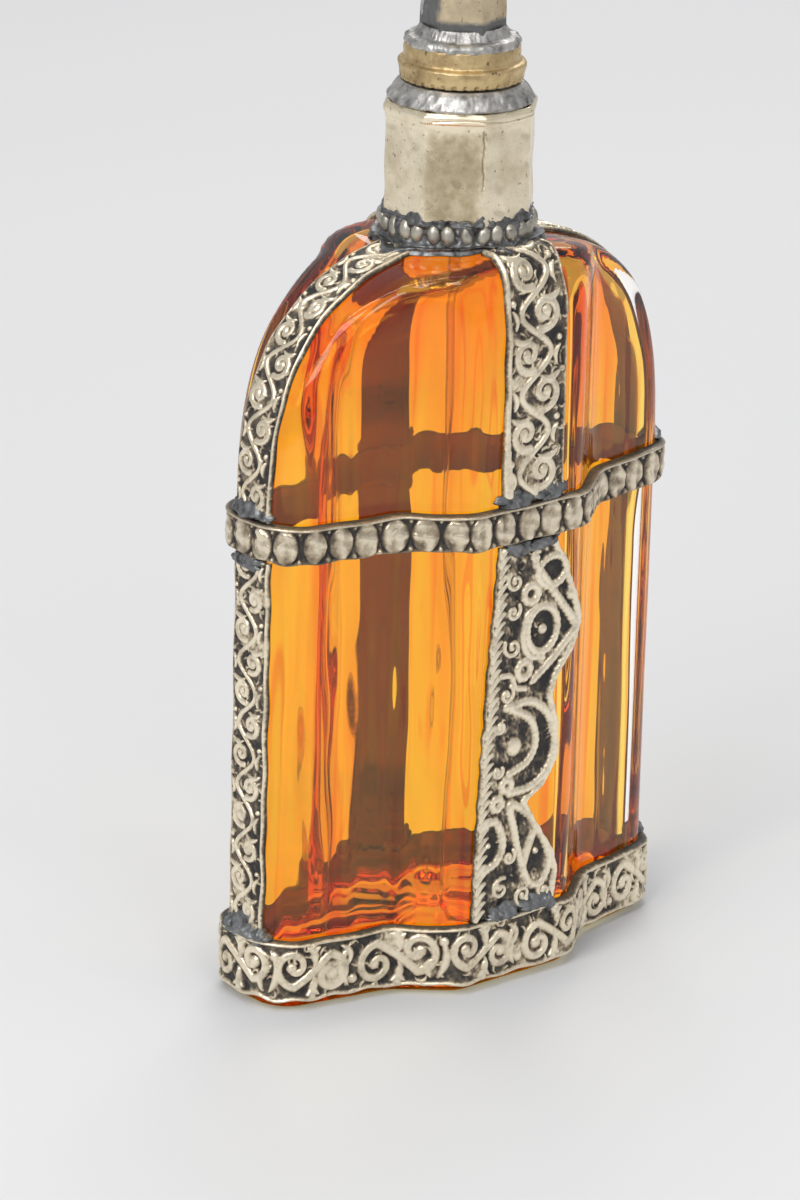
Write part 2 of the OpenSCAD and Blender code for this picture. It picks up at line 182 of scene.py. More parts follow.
def plan_at(s, inset=0.0):
    """Points (x, y) and outward normals of the outline at distances s from the front's middle."""
    s = np.asarray(s, float)
    away = np.abs(s)
    fold = np.minimum(away, 2 * QUARTER - away)
    flip = np.stack([np.where(s < 0, -1.0, 1.0), np.where(away < QUARTER, -1.0, 1.0)], -1)
    p = np.stack([np.interp(fold, Q_S, Q_POINTS[:, k]) for k in (0, 1)], -1) * flip
    n = np.stack([np.interp(fold, Q_S, Q_NORMALS[:, k]) for k in (0, 1)], -1) * flip
    n /= np.linalg.norm(n, axis=-1, keepdims=True)
    return p - np.asarray(inset)[..., None] * n, n


# ---------- the flask's surface ----------

class Surface:
    """The flask's skin, inset from the mount's outer face: an outline under two rounded shoulders.
    A smooth one rounds the outline's corners, and its right end is CAVITY_END from the axis."""

    def __init__(self, inset, smooth=0.0):
        q = Q_POINTS - inset * Q_NORMALS
        angle = np.arctan2(q[:, 1], q[:, 0])
        order = np.argsort(angle)
        self.angle = np.linspace(0, math.pi / 2, 1500)
        rho = np.interp(self.angle, angle[order], np.hypot(*q.T)[order])
        self.rho_thin = self.rho = rho
        if smooth:
            far = 120
            kernel = np.exp(-(np.arange(-far, far + 1) / smooth) ** 2)
            wide = np.concatenate([rho[far:0:-1], rho, rho[-2:-far - 2:-1]])
            self.rho_thin = np.convolve(wide, kernel / kernel.sum(), "valid")
            end = CAVITY_END / np.cos(np.minimum(self.angle, 1.5))
            self.rho = (self.rho_thin ** -CAVITY_ROUND + end ** -CAVITY_ROUND) ** (-1 / CAVITY_ROUND)
        drop = inset - (GLASS_IN - STRAP_T)
        self.rise_x = ARCH_TOP - drop - SHOULDER_Z
        self.rise_y = LOBE_TOP - drop - SHOULDER_Z

    def radius(self, theta, z):
        """Distance from the axis to the skin."""
        fold = np.abs((theta + math.pi / 2) % math.pi - math.pi / 2)
        fold = np.where(fold > math.pi / 2, math.pi - fold, fold)
        thin = np.where(np.cos(theta) < 0, 1, smoothstep(z, THICK_TO, THIN_FROM))
        rho = np.interp(fold, self.angle, self.rho) * (1 - thin)
        rho = rho + np.interp(fold, self.angle, self.rho_thin) * thin
        n = SHOULDER_ROUND
        total = rho ** -n
        ends = ((self.rho_thin[0], self.rise_x, ARCH_POWER, np.cos(theta)),
                (self.rho[-1], self.rise_y, LOBE_POWER, np.sin(theta)))
        for half, rise, power, lean in ends:
            lift = np.clip((z - SHOULDER_Z) / rise, 0, 1)
            reach = half * np.clip(1 - lift ** power, 1e-9, 1) ** (1 / power)
            total = total + np.maximum(reach ** -n - half ** -n, 0) * np.abs(lean) ** n
        return total ** (-1 / n)

    def depth(self, p):
        """How far points lie inside the skin, measured from the axis; negative outside."""
        theta = np.arctan2(p[..., 1], p[..., 0])
        return self.radius(theta, p[..., 2]) - np.hypot(p[..., 0], p[..., 1])

    def cast(self, origin, direction, far=70.0, halvings=34):
        """Where rays from inside the flask meet the skin."""
        low = np.zeros(origin.shape[:-1])
        high = np.full(origin.shape[:-1], far)
        for _ in range(halvings):
            middle = (low + high) / 2
            inside = self.depth(origin + middle[..., None] * direction) > 0
            low = np.where(inside, middle, low)
            high = np.where(inside, high, middle)
        return origin + low[..., None] * direction

    def normal(self, p, eps=0.03):
        """Outward unit normals at points on the skin."""
        n = np.zeros_like(p)
        for k in range(3):
            step = np.zeros(3)
            step[k] = eps
            n[..., k] = self.depth(p - step) - self.depth(p + step)
        return n / np.maximum(np.linalg.norm(n, axis=-1, keepdims=True), 1e-9)


OUTER = Surface(GLASS_IN)
INNER = Surface(GLASS_IN + GLASS_WALL, smooth=CAVITY_SMOOTH)


def waves(p, scale, seed, count=10):
    """Smooth seeded noise of about -1 to 1 at points p, with features of about scale."""
    rng = np.random.default_rng(seed)
    total = np.zeros(p.shape[:-1])
    for _ in range(count):
        k = rng.normal(size=p.shape[-1])
        k *= TAU / scale * rng.uniform(0.6, 1.5) / max(np.linalg.norm(k), 1e-6)
        total += np.sin(p @ k + rng.uniform(0, TAU))
    return total / math.sqrt(count)


# ---------- mesh helpers ----------

def add_piece(name, points, faces, materials, body, node, relief=None, face_material=None):
    """Makes a smooth-shaded piece from points in millimetres, in the place of a CAD node."""
    mesh = bpy.data.meshes.new(name)
    mesh.from_pydata((np.asarray(points) * MM).tolist(), [], faces)
    for m in materials:
        mesh.materials.append(m)
    if face_material is not None:
        mesh.polygons.foreach_set("material_index", np.asarray(face_material, np.int32))
    if relief is not None:
        attribute = mesh.attributes.new("relief", "FLOAT", "POINT")
        attribute.data.foreach_set("value", np.asarray(relief, np.float32))
    mesh.polygons.foreach_set("use_smooth", np.ones(len(mesh.polygons), bool))
    mesh.update()
    obj = bpy.data.objects.new(name, mesh)
    bpy.context.scene.collection.objects.link(obj)
    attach(obj, body)
    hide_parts(node)
    return obj


def quads(rows, cols, wrap_rows=False, wrap_cols=False):
    """Faces of a grid of points numbered row by row."""
    r = np.arange(rows if wrap_rows else rows - 1)[:, None]
    c = np.arange(cols if wrap_cols else cols - 1)[None, :]
    r2, c2 = (r + 1) % rows, (c + 1) % cols
    corners = [r * cols + c, r * cols + c2, r2 * cols + c2, r2 * cols + c]
    return np.stack(corners, -1).reshape(-1, 4).tolist()


def capped(rows):
    """Points and faces of a lump made of rings, closed at both ends."""
    rows = np.asarray(rows)
    m, n = rows.shape[:2]
    points = np.vstack([rows.reshape(-1, 3), rows[0].mean(0), rows[-1].mean(0)])
    faces = quads(m, n, wrap_cols=True)
    low, high, last = m * n, m * n + 1, (m - 1) * n
    faces += [[low, (i + 1) % n, i] for i in range(n)]
    faces += [[high, last + i, last + (i + 1) % n] for i in range(n)]
    return points, faces


def loft(name, rows, materials, body, node, ring=True, relief=None, rows_material=None):
    """A closed piece from rings of points: a torus if ring, or else capped at both ends."""
    rows = np.asarray(rows)
    m, n = rows.shape[:2]
    if ring:
        points, faces = rows.reshape(-1, 3), quads(m, n, wrap_rows=True, wrap_cols=True)
    else:
        points, faces = capped(rows)
    marks = None
    if rows_material is not None:
        marks = list(np.repeat(rows_material[:m if ring else m - 1], n))
        if not ring:
            marks += [rows_material[0]] * n + [rows_material[-1]] * n
    if relief is not None:
        relief = np.asarray(relief).reshape(-1)
        relief = np.concatenate([relief, np.full(len(points) - len(relief), relief[-1])])
    return add_piece(name, points, faces, materials, body, node, relief, marks)


def plate(name, front, back, relief, materials, body, node):
    """A closed sheet: a fine grid in front, and behind it only the rim's points."""
    m, n = front.shape[:2]
    sides = np.stack([back[1:-1, 0], back[1:-1, -1]], 1)
    points = np.vstack([front.reshape(-1, 3), back[0], back[-1], sides.reshape(-1, 3)])
    first, last, side = m * n, m * n + n, m * n + 2 * n

    def rim(row, end):
        """Point behind the grid at a row's left (end 0) or right (end 1) edge."""
        if row == 0:
            return first + end * (n - 1)
        if row == m - 1:
            return last + end * (n - 1)
        return side + 2 * (row - 1) + end

    faces = quads(m, n)
    for c in range(n - 1):
        faces.append([c + 1, c, first + c, first + c + 1])
        faces.append([(m - 1) * n + c, (m - 1) * n + c + 1, last + c + 1, last + c])
    for r in range(m - 1):
        a, b = r * n, (r + 1) * n
        faces.append([a, b, rim(r + 1, 0), rim(r, 0)])
        faces.append([b + n - 1, a + n - 1, rim(r, 1), rim(r + 1, 1)])
    edges = len(faces)
    faces.append([rim(1, 0), rim(1, 1)] + [first + c for c in range(n - 1, -1, -1)])
    for r in range(1, m - 2):
        faces.append([rim(r, 0), rim(r + 1, 0), rim(r + 1, 1), rim(r, 1)])
    faces.append([rim(m - 2, 1), rim(m - 2, 0)] + [last + c for c in range(n)])
    values = np.concatenate([relief.reshape(-1), np.full(len(points) - m * n, 0.3)])
    marks = [0] * edges + [1] * (len(faces) - edges)
    add_piece(name, points, faces, materials, body, node, values, marks)


def spline(points, count, closed=False):
    """A smooth curve through points, as count points along it."""
    p = np.asarray(points, float)
    if closed:
        p = np.vstack([p[-1], p, p[0], p[1]])
    else:
        p = np.vstack([2 * p[0] - p[1], p, 2 * p[-1] - p[-2]])
    t = np.linspace(0, len(p) - 3, count, endpoint=not closed)
    i = np.minimum(t.astype(int), len(p) - 4)
    f = (t - i)[:, None]
    a, b, c, d = p[i], p[i + 1], p[i + 2], p[i + 3]
    return 0.5 * (2 * b + (c - a) * f + (2 * a - 5 * b + 4 * c - d) * f ** 2
                  + (3 * b - a - 3 * c + d) * f ** 3)


def turned(profile, theta, bend=None):
    """Rings of a turned shape; bend(theta, r, z) may give another radius."""
    profile = np.asarray(profile, float)
    r, z = profile[:, 0][:, None], profile[:, 1][:, None]
    rad = bend(theta[None, :], r, z) if bend else r + 0 * theta[None, :]
    z = z + 0 * theta[None, :]
    return np.stack([rad * np.cos(theta), rad * np.sin(theta), z], -1)


def circle(count):
    """Angles of count points round a circle."""
    return np.linspace(0, TAU, count, endpoint=False)


def around(r, theta, z):
    """Points at radius r, angle theta and height z, each a number or an array."""
    return np.column_stack([r * np.cos(theta), r * np.sin(theta), 0 * theta + z])


def polygon_radius(theta, flat, sides, turn, power):
    """Radius of a polygon with rounded corners, flat away from the axis at its faces' middles."""
    total = 0
    for k in range(sides):
        total = total + np.maximum(np.cos(theta - turn - TAU * k / sides), 0) ** power
    return flat / total ** (1 / power)


def smoothstep(x, a, b):
    """Rises smoothly from 0 at a to 1 at b."""
    t = np.clip((x - a) / (b - a), 0, 1)
    return t * t * (3 - 2 * t)


# ---------- materials ----------

class Graph:
    """Adds nodes to a new material and links them."""

    def __init__(self, name):
        self.material = bpy.data.materials.new(name)
        self.material.use_nodes = True
        self.tree = self.material.node_tree
        self.tree.nodes.clear()

    def add(self, kind, inputs=None, **settings):
        node = self.tree.nodes.new("ShaderNode" + kind)
        for key, value in settings.items():
            setattr(node, key, value)
        for key, value in (inputs or {}).items():
            if isinstance(value, bpy.types.NodeSocket):
                self.tree.links.new(value, node.inputs[key])
            else:
                node.inputs[key].default_value = value
        return node

    def noise(self, scale, detail=4.0, rough=0.55):
        """Noise of features about 1/scale metres across, fixed to the object."""
        where = self.add("TexCoord").outputs["Object"]
        return self.add("TexNoise", {"Vector": where, "Scale": scale, "Detail": detail,
                                     "Roughness": rough}).outputs["Fac"]

    def streaks(self, place, scale, detail):
        """Noise drawn out along the axis of the smallest scale."""
        stretched = self.add("Mapping", {"Vector": place, "Scale": scale}).outputs[0]
        return self.add("TexNoise", {"Vector": stretched, "Scale": 1.0,
                                     "Detail": detail}).outputs["Fac"]

    def ramp(self, value, stops):
        """Colour of value by (place, colour) stops."""
        node = self.add("ValToRGB", {"Fac": value})
        while len(node.color_ramp.elements) < len(stops):
            node.color_ramp.elements.new(0.5)
        for element, (place, colour) in zip(node.color_ramp.elements, stops):
            element.position = place
            element.color = (*colour, 1)
        return node.outputs["Color"]

    def scale_to(self, value, low, high, out_low, out_high):
        """Maps low..high to out_low..out_high, and holds the ends."""
        node = self.add("MapRange", {"Value": value, "From Min": low, "From Max": high,
                                     "To Min": out_low, "To Max": out_high})
        return node.outputs["Result"]

    def maths(self, operation, a, b):
        return self.add("Math", {0: a, 1: b}, operation=operation).outputs[0]

    def mix(self, factor, a, b):
        """Colour a, turning to b as factor goes to 1."""
        node = self.add("Mix", {"Factor": factor}, data_type="RGBA")
        for socket, value in ((node.inputs[6], a), (node.inputs[7], b)):
            if isinstance(value, bpy.types.NodeSocket):
                self.tree.links.new(value, socket)
            else:
                socket.default_value = (*value, 1)
        return node.outputs[2]

    def bump(self, height, strength, distance):
        return self.add("Bump", {"Height": height, "Strength": strength,
                                 "Distance": distance}).outputs["Normal"]

    def finish(self, shader):
        """Ends the material with a shader."""
        self.add("OutputMaterial", {"Surface": shader})
        return self.material

    def principled(self, **inputs):
        """Ends the material with a Principled shader; _ stands for a space."""
        named = {key.replace("_", " "): value for key, value in inputs.items()}
        return self.finish(self.add("BsdfPrincipled", named).outputs["BSDF"])


def relief_metal(name, stops, wear=0.17, rough=(0.55, 0.3)):
    """Embossed sheet: dark patina in the hollows, rubbed pale metal on the tops."""
    g = Graph(name)
    relief = g.add("Attribute", attribute_name="relief").outputs["Fac"]
    broad, fine = g.noise(160, 3), g.noise(1500, 5, 0.65)
    level = g.maths("ADD", relief, g.scale_to(broad, 0.3, 0.7, -wear, wear))
    level = g.maths("ADD", level, g.scale_to(fine, 0.3, 0.7, -wear, wear))
    colour = g.ramp(level, stops)
    stain = g.scale_to(g.noise(420, 5, 0.7), 0.5, 0.72, 0, 0.5)
    colour = g.mix(stain, colour, (0.2, 0.165, 0.115))
    return g.principled(
        Base_Color=colour, Metallic=g.scale_to(level, 0.2, 0.7, 0.25, 0.92),
        Roughness=g.scale_to(level, 0.2, 0.8, *rough),
        Normal=g.bump(fine, 0.35, 0.00012))


def sheet_metal(name, pale, stain, rough=(0.22, 0.42), metallic=0.95, dirt=0.5, patch=None):
    """Plain sheet with stains, dark specks, a fine grain and a soft hammered unevenness.
    The mesh's relief value says where it takes the colour patch, which on the collar is painted shade."""
    g = Graph(name)
    blotch = g.noise(170, 5, 0.65)
    fine = g.noise(2600, 4, 0.6)
    amount = g.scale_to(blotch, 0.48, 0.72, 0, dirt)
    colour = g.mix(amount, pale, stain)
    speck = g.scale_to(g.noise(1100, 3, 0.5), 0.64, 0.7, 0, 0.7)
    colour = g.mix(speck, colour, tuple(0.4 * c for c in stain))
    if patch:
        cover = g.add("Attribute", attribute_name="relief").outputs["Fac"]
        cover = g.maths("ADD", cover, g.scale_to(g.noise(700, 4), 0.3, 0.7, -0.2, 0.2))
        colour = g.mix(g.scale_to(cover, 0.1, 0.9, 0, 1), colour, patch)
    height = g.maths("ADD", g.noise(260, 3), g.maths("MULTIPLY", fine, 0.12))
    return g.principled(Base_Color=colour, Metallic=metallic,
                        Roughness=g.scale_to(blotch, 0.35, 0.7, *rough),
                        Normal=g.bump(height, 0.4, 0.0002))


def solder_metal(name, pale=(0.60, 0.585, 0.555), dark=(0.12, 0.12, 0.12)):
    """Lumpy grey solder with dark flux in its pits."""
    g = Graph(name)
    lumps = g.noise(620, 5, 0.6)
    flux = g.noise(300, 4, 0.6)
    level = g.maths("ADD", g.maths("MULTIPLY", lumps, 0.6), g.maths("MULTIPLY", flux, 0.4))
    colour = g.ramp(level, [(0.34, dark), (0.45, tuple(0.6 * c for c in pale)), (0.6, pale)])
    return g.principled(Base_Color=colour, Metallic=0.9,
                        Roughness=g.scale_to(level, 0.4, 0.65, 0.5, 0.24),
                        Normal=g.bump(lumps, 0.5, 0.0005))


def glass(name, tint, deep=None):
    """Glass that lets light through to its shadow, so that the floor isn't left dark.
    With deep, its colour runs in upright streaks from tint to deep, with fine redder threads."""
    g = Graph(name)
    ripple = g.bump(g.noise(90, 2), 0.05, 0.0004)
    clear = g.add("BsdfGlass", {"Color": (*tint, 1), "Roughness": 0.0, "IOR": 1.5,
                                "Normal": ripple})
    if deep:
        place = g.add("TexCoord").outputs["Object"]
        streak = g.streaks(place, (130, 130, 11), 3.0)
        height = g.add("SeparateXYZ", {0: place}).outputs["Z"]
        crown = g.scale_to(height, CROWN_LOW, CROWN_HIGH, 0, 0.85)
        heel = g.scale_to(height, HEEL_LOW, HEEL_HIGH, 0.15, 0)
        share = g.maths("ADD", g.scale_to(streak, 0.44, 0.66, 0, 0.75), g.maths("ADD", crown, heel))
        share = g.scale_to(share, 0, 1, 0, 1)
        thread = g.streaks(place, (430, 430, 9), 2.0)
        colour = g.mix(share, tint, deep)
        colour = g.mix(g.scale_to(thread, 0.57, 0.66, 0, 0.75), colour, (0.97, 0.33, 0.02))
        g.tree.links.new(colour, clear.inputs["Color"])
    clear = clear.outputs[0]
    through = g.add("BsdfTransparent", {"Color": (*[c ** SHADOW_TINT for c in tint], 1)}).outputs[0]
    path = g.add("LightPath").outputs
    soft = g.maths("MAXIMUM", path["Is Shadow Ray"], path["Is Diffuse Ray"])
    return g.finish(g.add("MixShader", {"Fac": soft, 1: clear, 2: through}).outputs[0])


def plastic(name, colour, rough=0.35):
    """Moulded polymer with a faint grain."""
    g = Graph(name)
    fine = g.noise(1800, 3)
    shade = g.mix(g.scale_to(g.noise(250, 3), 0.3, 0.7, 0, 0.25), colour,
                  tuple(0.75 * c for c in colour))
    return g.principled(Base_Color=shade, Roughness=g.scale_to(fine, 0.3, 0.7, rough, rough + 0.12),
                        Normal=g.bump(fine, 0.1, 0.0001))


CREAM_STOPS = [(0.06, (0.028, 0.026, 0.026)), (0.25, (0.10, 0.082, 0.064)),
               (0.42, (0.36, 0.285, 0.19)), (0.58, (0.80, 0.69, 0.51)), (0.90, (0.97, 0.87, 0.68))]
BELT_STOPS = [(0.10, (0.028, 0.026, 0.026)), (0.32, (0.12, 0.095, 0.07)),
              (0.52, (0.29, 0.23, 0.155)), (0.74, (0.58, 0.49, 0.36)), (0.96, (0.82, 0.73, 0.56))]

M = {
    "relief": relief_metal("embossed_nickel_silver", CREAM_STOPS),
    "belt": relief_metal("belt_nickel_silver", BELT_STOPS, 0.14, (0.5, 0.25)),
    # Inner faces of bands and straps against the glass: painted shade, a dark brown for the little
    # light that reaches them through the flask.
    "back": sheet_metal("sheet_back_painted_shade", (0.23, 0.14, 0.08), (0.07, 0.045, 0.025), (0.5, 0.7), 0.5),
    # The collar's patch colour is painted shade for its darker front facet.
    "collar": sheet_metal("collar_sheet_metal", (0.90, 0.80, 0.60), (0.42, 0.31, 0.18),
                          patch=(0.44, 0.36, 0.22)),
    "stem": sheet_metal("stem_sheet_metal", (0.70, 0.58, 0.39), (0.32, 0.23, 0.13),
                        patch=(0.17, 0.17, 0.17)),
    "brass": sheet_metal("aged_brass_metal", (0.66, 0.50, 0.26), (0.22, 0.135, 0.06), (0.3, 0.5),
                         dirt=0.8),
    "solder": solder_metal("grey_solder"),
    "dark_solder": solder_metal("dark_solder", (0.28, 0.285, 0.29), (0.02, 0.02, 0.022)),
    "neck_solder": solder_metal("neck_solder", (0.22, 0.222, 0.225), (0.012, 0.012, 0.013)),
    "clear": glass("clear_glass", (0.985, 0.985, 0.98)),
    "amber": glass("amber_lining", (1.0, 0.70, 0.125), (1.0, 0.46, 0.045)),
    "plastic": plastic("pump_polymer", (0.82, 0.82, 0.79)),
    "tube": glass("tube_polymer", (0.96, 0.96, 0.95)),
    "rubber": plastic("seal_elastomer", (0.03, 0.03, 0.032), 0.6),
    "nozzle": plastic("nozzle_polymer", (0.06, 0.055, 0.05), 0.4),
    "steel": sheet_metal("spring_steel", (0.6, 0.6, 0.62), (0.3, 0.3, 0.3), (0.15, 0.3)),
    "bead": sheet_metal("bead_metal", (0.52, 0.49, 0.42), (0.06, 0.055, 0.05), (0.3, 0.5), 0.9, 0.85),
}


# ---------- relief: ribbons, scrolls, leaves and beads drawn into a height field ----------

def serrated(width, along):
    """Half breadths of a line with teeth, at distances along it."""
    return width * (1 + TEETH_DEPTH * np.cos(TAU * along / TEETH_PITCH))


class Relief:
    """Heights from 0 to 1 at points (u, v) of a strip, in millimetres."""

    def __init__(self, u, v, seed):
        self.u, self.v = np.asarray(u, float), np.asarray(v, float)
        self.h = np.zeros(self.u.shape)
        self.rng = np.random.default_rng(seed)

    def noise(self, scale, seed):
        """Smooth seeded noise over the strip."""
        return waves(np.stack([self.u, self.v], -1), scale, seed)

    def ground(self, level, spread, scale):
        """An uneven floor for the relief."""
        noise = self.noise(scale, 401) * 0.7 + self.noise(scale / 3, 402) * 0.4
        self.h = np.clip(level + spread * noise, 0, 1)

    def worn(self, scale, low, high, amount):
        """Patches where rubbing has left the relief shallow and pale."""
        share = amount * smoothstep(self.noise(scale, 403), low, high)
        rubbed = 0.72
        self.h = self.h * (1 - share) + rubbed * share

    def toothed(self, points, width, closed=False):
        """A line with a serrated edge through points."""
        path = spline(points, 30 * len(points), closed)
        along = np.concatenate([[0], np.cumsum(np.hypot(*np.diff(path, axis=0).T))])
        self.stroke(path, serrated(width, along))

    def stroke(self, path, width, top=1.0, groove=0.0):
        """Raises a rounded ribbon along path; width is half its breadth, one number or one a point."""
        path = np.asarray(path, float)
        width = np.broadcast_to(width, len(path))
        reach = width.max()
        near = ((self.u > path[:, 0].min() - reach) & (self.u < path[:, 0].max() + reach)
                & (self.v > path[:, 1].min() - reach) & (self.v < path[:, 1].max() + reach))
        if not near.any():
            return
        du = self.u[near][:, None] - path[:, 0]
        dv = self.v[near][:, None] - path[:, 1]
        share = (np.hypot(du, dv) / np.maximum(width, 1e-3)).min(axis=1)
        body = top * np.clip(1 - share ** 2, 0, 1) ** 0.6
        body = body - groove * np.exp(-(share / 0.32) ** 2)
        self.h[near] = np.where(share < 1, np.maximum(self.h[near], body), self.h[near])

    def boss(self, u, v, radius, top=1.0):
        """A round dome."""
        self.stroke([[u, v]], radius, top)

    def leaf(self, a, b, bow, width, **more):
        """A stroke from a to b that bows aside and tapers at both ends."""
        a, b = np.array(a, float), np.array(b, float)
        t = np.linspace(0, 1, 22)[:, None]
        side = np.array([a[1] - b[1], b[0] - a[0]])
        path = a + (b - a) * t + side * bow * (4 * t * (1 - t))
        self.stroke(path, width * (0.25 + 0.75 * np.sin(math.pi * t[:, 0] ** 0.8)), **more)

    def spiral(self, u, v, radius, start, hand, width, turns, **more):
        """A scroll that winds in from its tail to a small round eye; returns the tail's point."""
        t = np.linspace(0, 1, 70)
        a = start + hand * TAU * turns * t
        r = radius * (1 - 0.86 * t ** 0.9)
        w = width * (1 - 0.25 * t)
        path = np.column_stack([u + r * np.cos(a), v + r * np.sin(a)])
        self.stroke(path, w, **more)
        self.boss(*path[-1], 1.25 * width, more.get("top", 1.0))
        return path[0]

    def curve(self, points, width, **more):
        """A smooth ribbon through points."""
        self.stroke(spline(points, 16 * len(points)), width, **more)

    def rim(self, distance, at, width, top=0.8):
        """A raised line where distance from an edge is at."""
        self.h = np.maximum(self.h, top * np.exp(-((distance - at) / width) ** 2))

    def scatter(self, count, length, width, top=0.6):
        """Small bowed strokes at random, which show only on bare ground."""
        low = np.array([self.u.min(), self.v.min()])
        high = np.array([self.u.max(), self.v.max()])
        for _ in range(count):
            a = self.rng.uniform(low, high)
            turn = self.rng.uniform(0, TAU)
            b = a + length * self.rng.uniform(0.5, 1.2) * np.array([math.cos(turn), math.sin(turn)])
            self.leaf(a, b, self.rng.uniform(-0.5, 0.5), width, top=self.rng.uniform(0.6, 1) * top)

    def ferns(self, a, b, count, length, width):
        """Short parallel cuts along a stem."""
        a, b = np.array(a, float), np.array(b, float)
        along = (b - a) / np.linalg.norm(b - a)
        side = np.array([-along[1], along[0]])
        for t in (np.arange(count) + 0.5) / count:
            p = a + (b - a) * t
            for hand in (-1, 1):
                self.leaf(p, p + length * (hand * side + 0.7 * along), 0.12 * hand, width)


def double_scrolls(field, u0, u1, middle, radius, width, pitch, swing, jitter=0.35):
    """A run of S-shaped double scrolls along u, with leaves and seeds filling the gaps."""
    rng = field.rng
    flip = 1
    u = u0
    while u < u1:
        r = radius * rng.uniform(0.9, 1.06)
        a = np.array([u, middle + flip * swing]) + rng.uniform(-jitter, jitter, 2)
        b = a + [pitch * rng.uniform(0.96, 1.06), -2 * flip * swing]
        tail_a = field.spiral(*a, r, -flip * math.pi / 2, -flip, width, 1.2, groove=0.25)
        tail_b = field.spiral(*b, r, flip * math.pi / 2, -flip, width, 1.2, groove=0.25)
        reach = np.array([0.45 * pitch, 0])
        field.curve([tail_a, tail_a * 0.6 + tail_b * 0.4 + reach * 0.1, tail_b], width, groove=0.2)
        for side, near in ((flip, a), (-flip, b)):
            u_gap = near[0] + (0.5 if side == flip else -0.5) * pitch
            v_gap = middle + side * (radius + swing * 0.6)
            field.leaf([u_gap - 0.9, v_gap], [u_gap + 0.2, middle + side * radius * 0.25],
                       0.25 * side, width * 0.9)
            field.leaf([u_gap + 1.2, v_gap], [u_gap + 0.5, middle + side * radius * 0.35],
                       -0.25 * side, width * 0.8)
            field.boss(u_gap + 0.1, v_gap + side * 0.3, width * 0.9)
        u_join = b[0] + 0.5 * pitch
        field.leaf([u_join, middle - radius], [u_join + 0.3, middle + radius], 0.18 * flip, width)
        field.leaf([u_join - 1.1, middle + flip * radius], [u_join - 0.1, middle], 0.3, width * 0.8)
        field.boss(u_join + 0.9, middle - flip * radius * 0.75, width * 1.1)
        u += 2 * pitch + 1.1 * radius * 0.5
        flip = -flip


def vine(field, u_mid, v0, v1, reach, radius, width, pitch):
    """A stem that winds along v with a scroll in each bend, and tendrils between them."""
    v = np.arange(v0 - pitch, v1 + pitch, 0.2)
    bend = math.pi / pitch
    stem = np.column_stack([u_mid - reach * 0.62 * np.sin((v - v0) * bend), v])
    field.stroke(stem, width * 0.8, groove=0.15)
    rng = field.rng
    for k in range(int((v1 - v0) / pitch) + 2):
        side = 1 if k % 2 == 0 else -1
        mid = v0 + (k + 0.5) * pitch
        r = radius * rng.uniform(0.92, 1.08)
        u = u_mid + side * reach * 0.36 + rng.uniform(-0.12, 0.12)
        field.spiral(u, mid, r, -side * 0.4 - math.pi / 2, side, width, turns=1.35, groove=0.2)
        field.leaf([u_mid + side * reach, mid + pitch * 0.45],
                   [u_mid + side * reach * 0.2, mid + pitch * 0.42], 0.2 * side, width * 0.8)
        field.leaf([u_mid - side * reach, mid + pitch * 0.12],
                   [u_mid - side * reach * 0.9, mid - pitch * 0.35], 0.2 * side, width * 0.7)
        field.boss(u_mid - side * reach * 0.95, mid + pitch * 0.3, width * 0.8)


# ---------- bands round the flask ----------

def band(node, paint, depth, material, wave):
    """A sheet-metal band that follows the outline; paint draws its relief.
    Its foot and top edge wander by wave."""
    low, high = levels(node)
    count = int(4 * QUARTER / GRID)
    s = np.linspace(-2 * QUARTER, 2 * QUARTER, count, endpoint=False)
    steps = int((high - low) / GRID)
    v = np.linspace(0, 1, steps)
    edge = wave * (0.5 + 0.5 * waves(s[:, None], 9, 5))
    crown = wave * 0.5 * (0.5 + 0.5 * waves(s[:, None], 14, 8))
    z = low + edge[None, :] + v[:, None] * (high - low - edge - crown)[None, :]
    s_grid = np.broadcast_to(s, z.shape)
    field = Relief(s_grid, z, BAND_SEED)
    paint(field, z, edge, crown)
    ends = np.minimum(v, 1 - v)[:, None] * (high - low)
    roll = np.clip(ends / 0.35, 0, 1) ** 0.5
    dent = 0.12 * (1 + field.noise(16, 3)) * 0.5
    inset = np.maximum(0.03 + dent + depth * (1 - field.h) + 0.5 * (1 - roll), 0.02)
    xy, _ = plan_at(s_grid, inset)
    front = np.concatenate([xy, z[..., None]], -1)
    back_xy, _ = plan_at(s, GLASS_IN - 0.05)
    back = [np.column_stack([back_xy, row]) for row in (z[-1], z[0])]
    rows = np.concatenate([front, np.stack(back)])
    relief = np.concatenate([field.h * roll, np.full((2, count), 0.1)])
    marks = [0] * (steps - 1) + [0, 1, 0]
    loft(f"{node}_relief", rows, [M[material], M["back"]], "root", node,
         relief=relief, rows_material=marks)


def paint_base(field, z, edge, crown):
    """Broad scrolls between two fine rims."""
    middle = (BASE_Z + BASE_TOP) / 2 + 0.15
    field.ground(0.10, 0.14, 5)
    double_scrolls(field, -2 * QUARTER + 3, 2 * QUARTER, middle, 3.3, 0.82, 6.2, 0.95)
    field.ferns([-83, middle - 3.4], [-79.5, middle + 3.2], 7, 1.6, 0.36)
    field.ferns([34, middle - 3], [38, middle + 3], 7, 1.5, 0.34)
    field.rim(z - BASE_Z - edge[None, :], 0.45, 0.4, 0.8)
    field.rim(BASE_TOP - crown[None, :] - z, 0.4, 0.35, 0.8)
    field.scatter(420, 1.7, 0.3, 0.75)
    field.worn(9, 0.3, 1.1, 0.6)


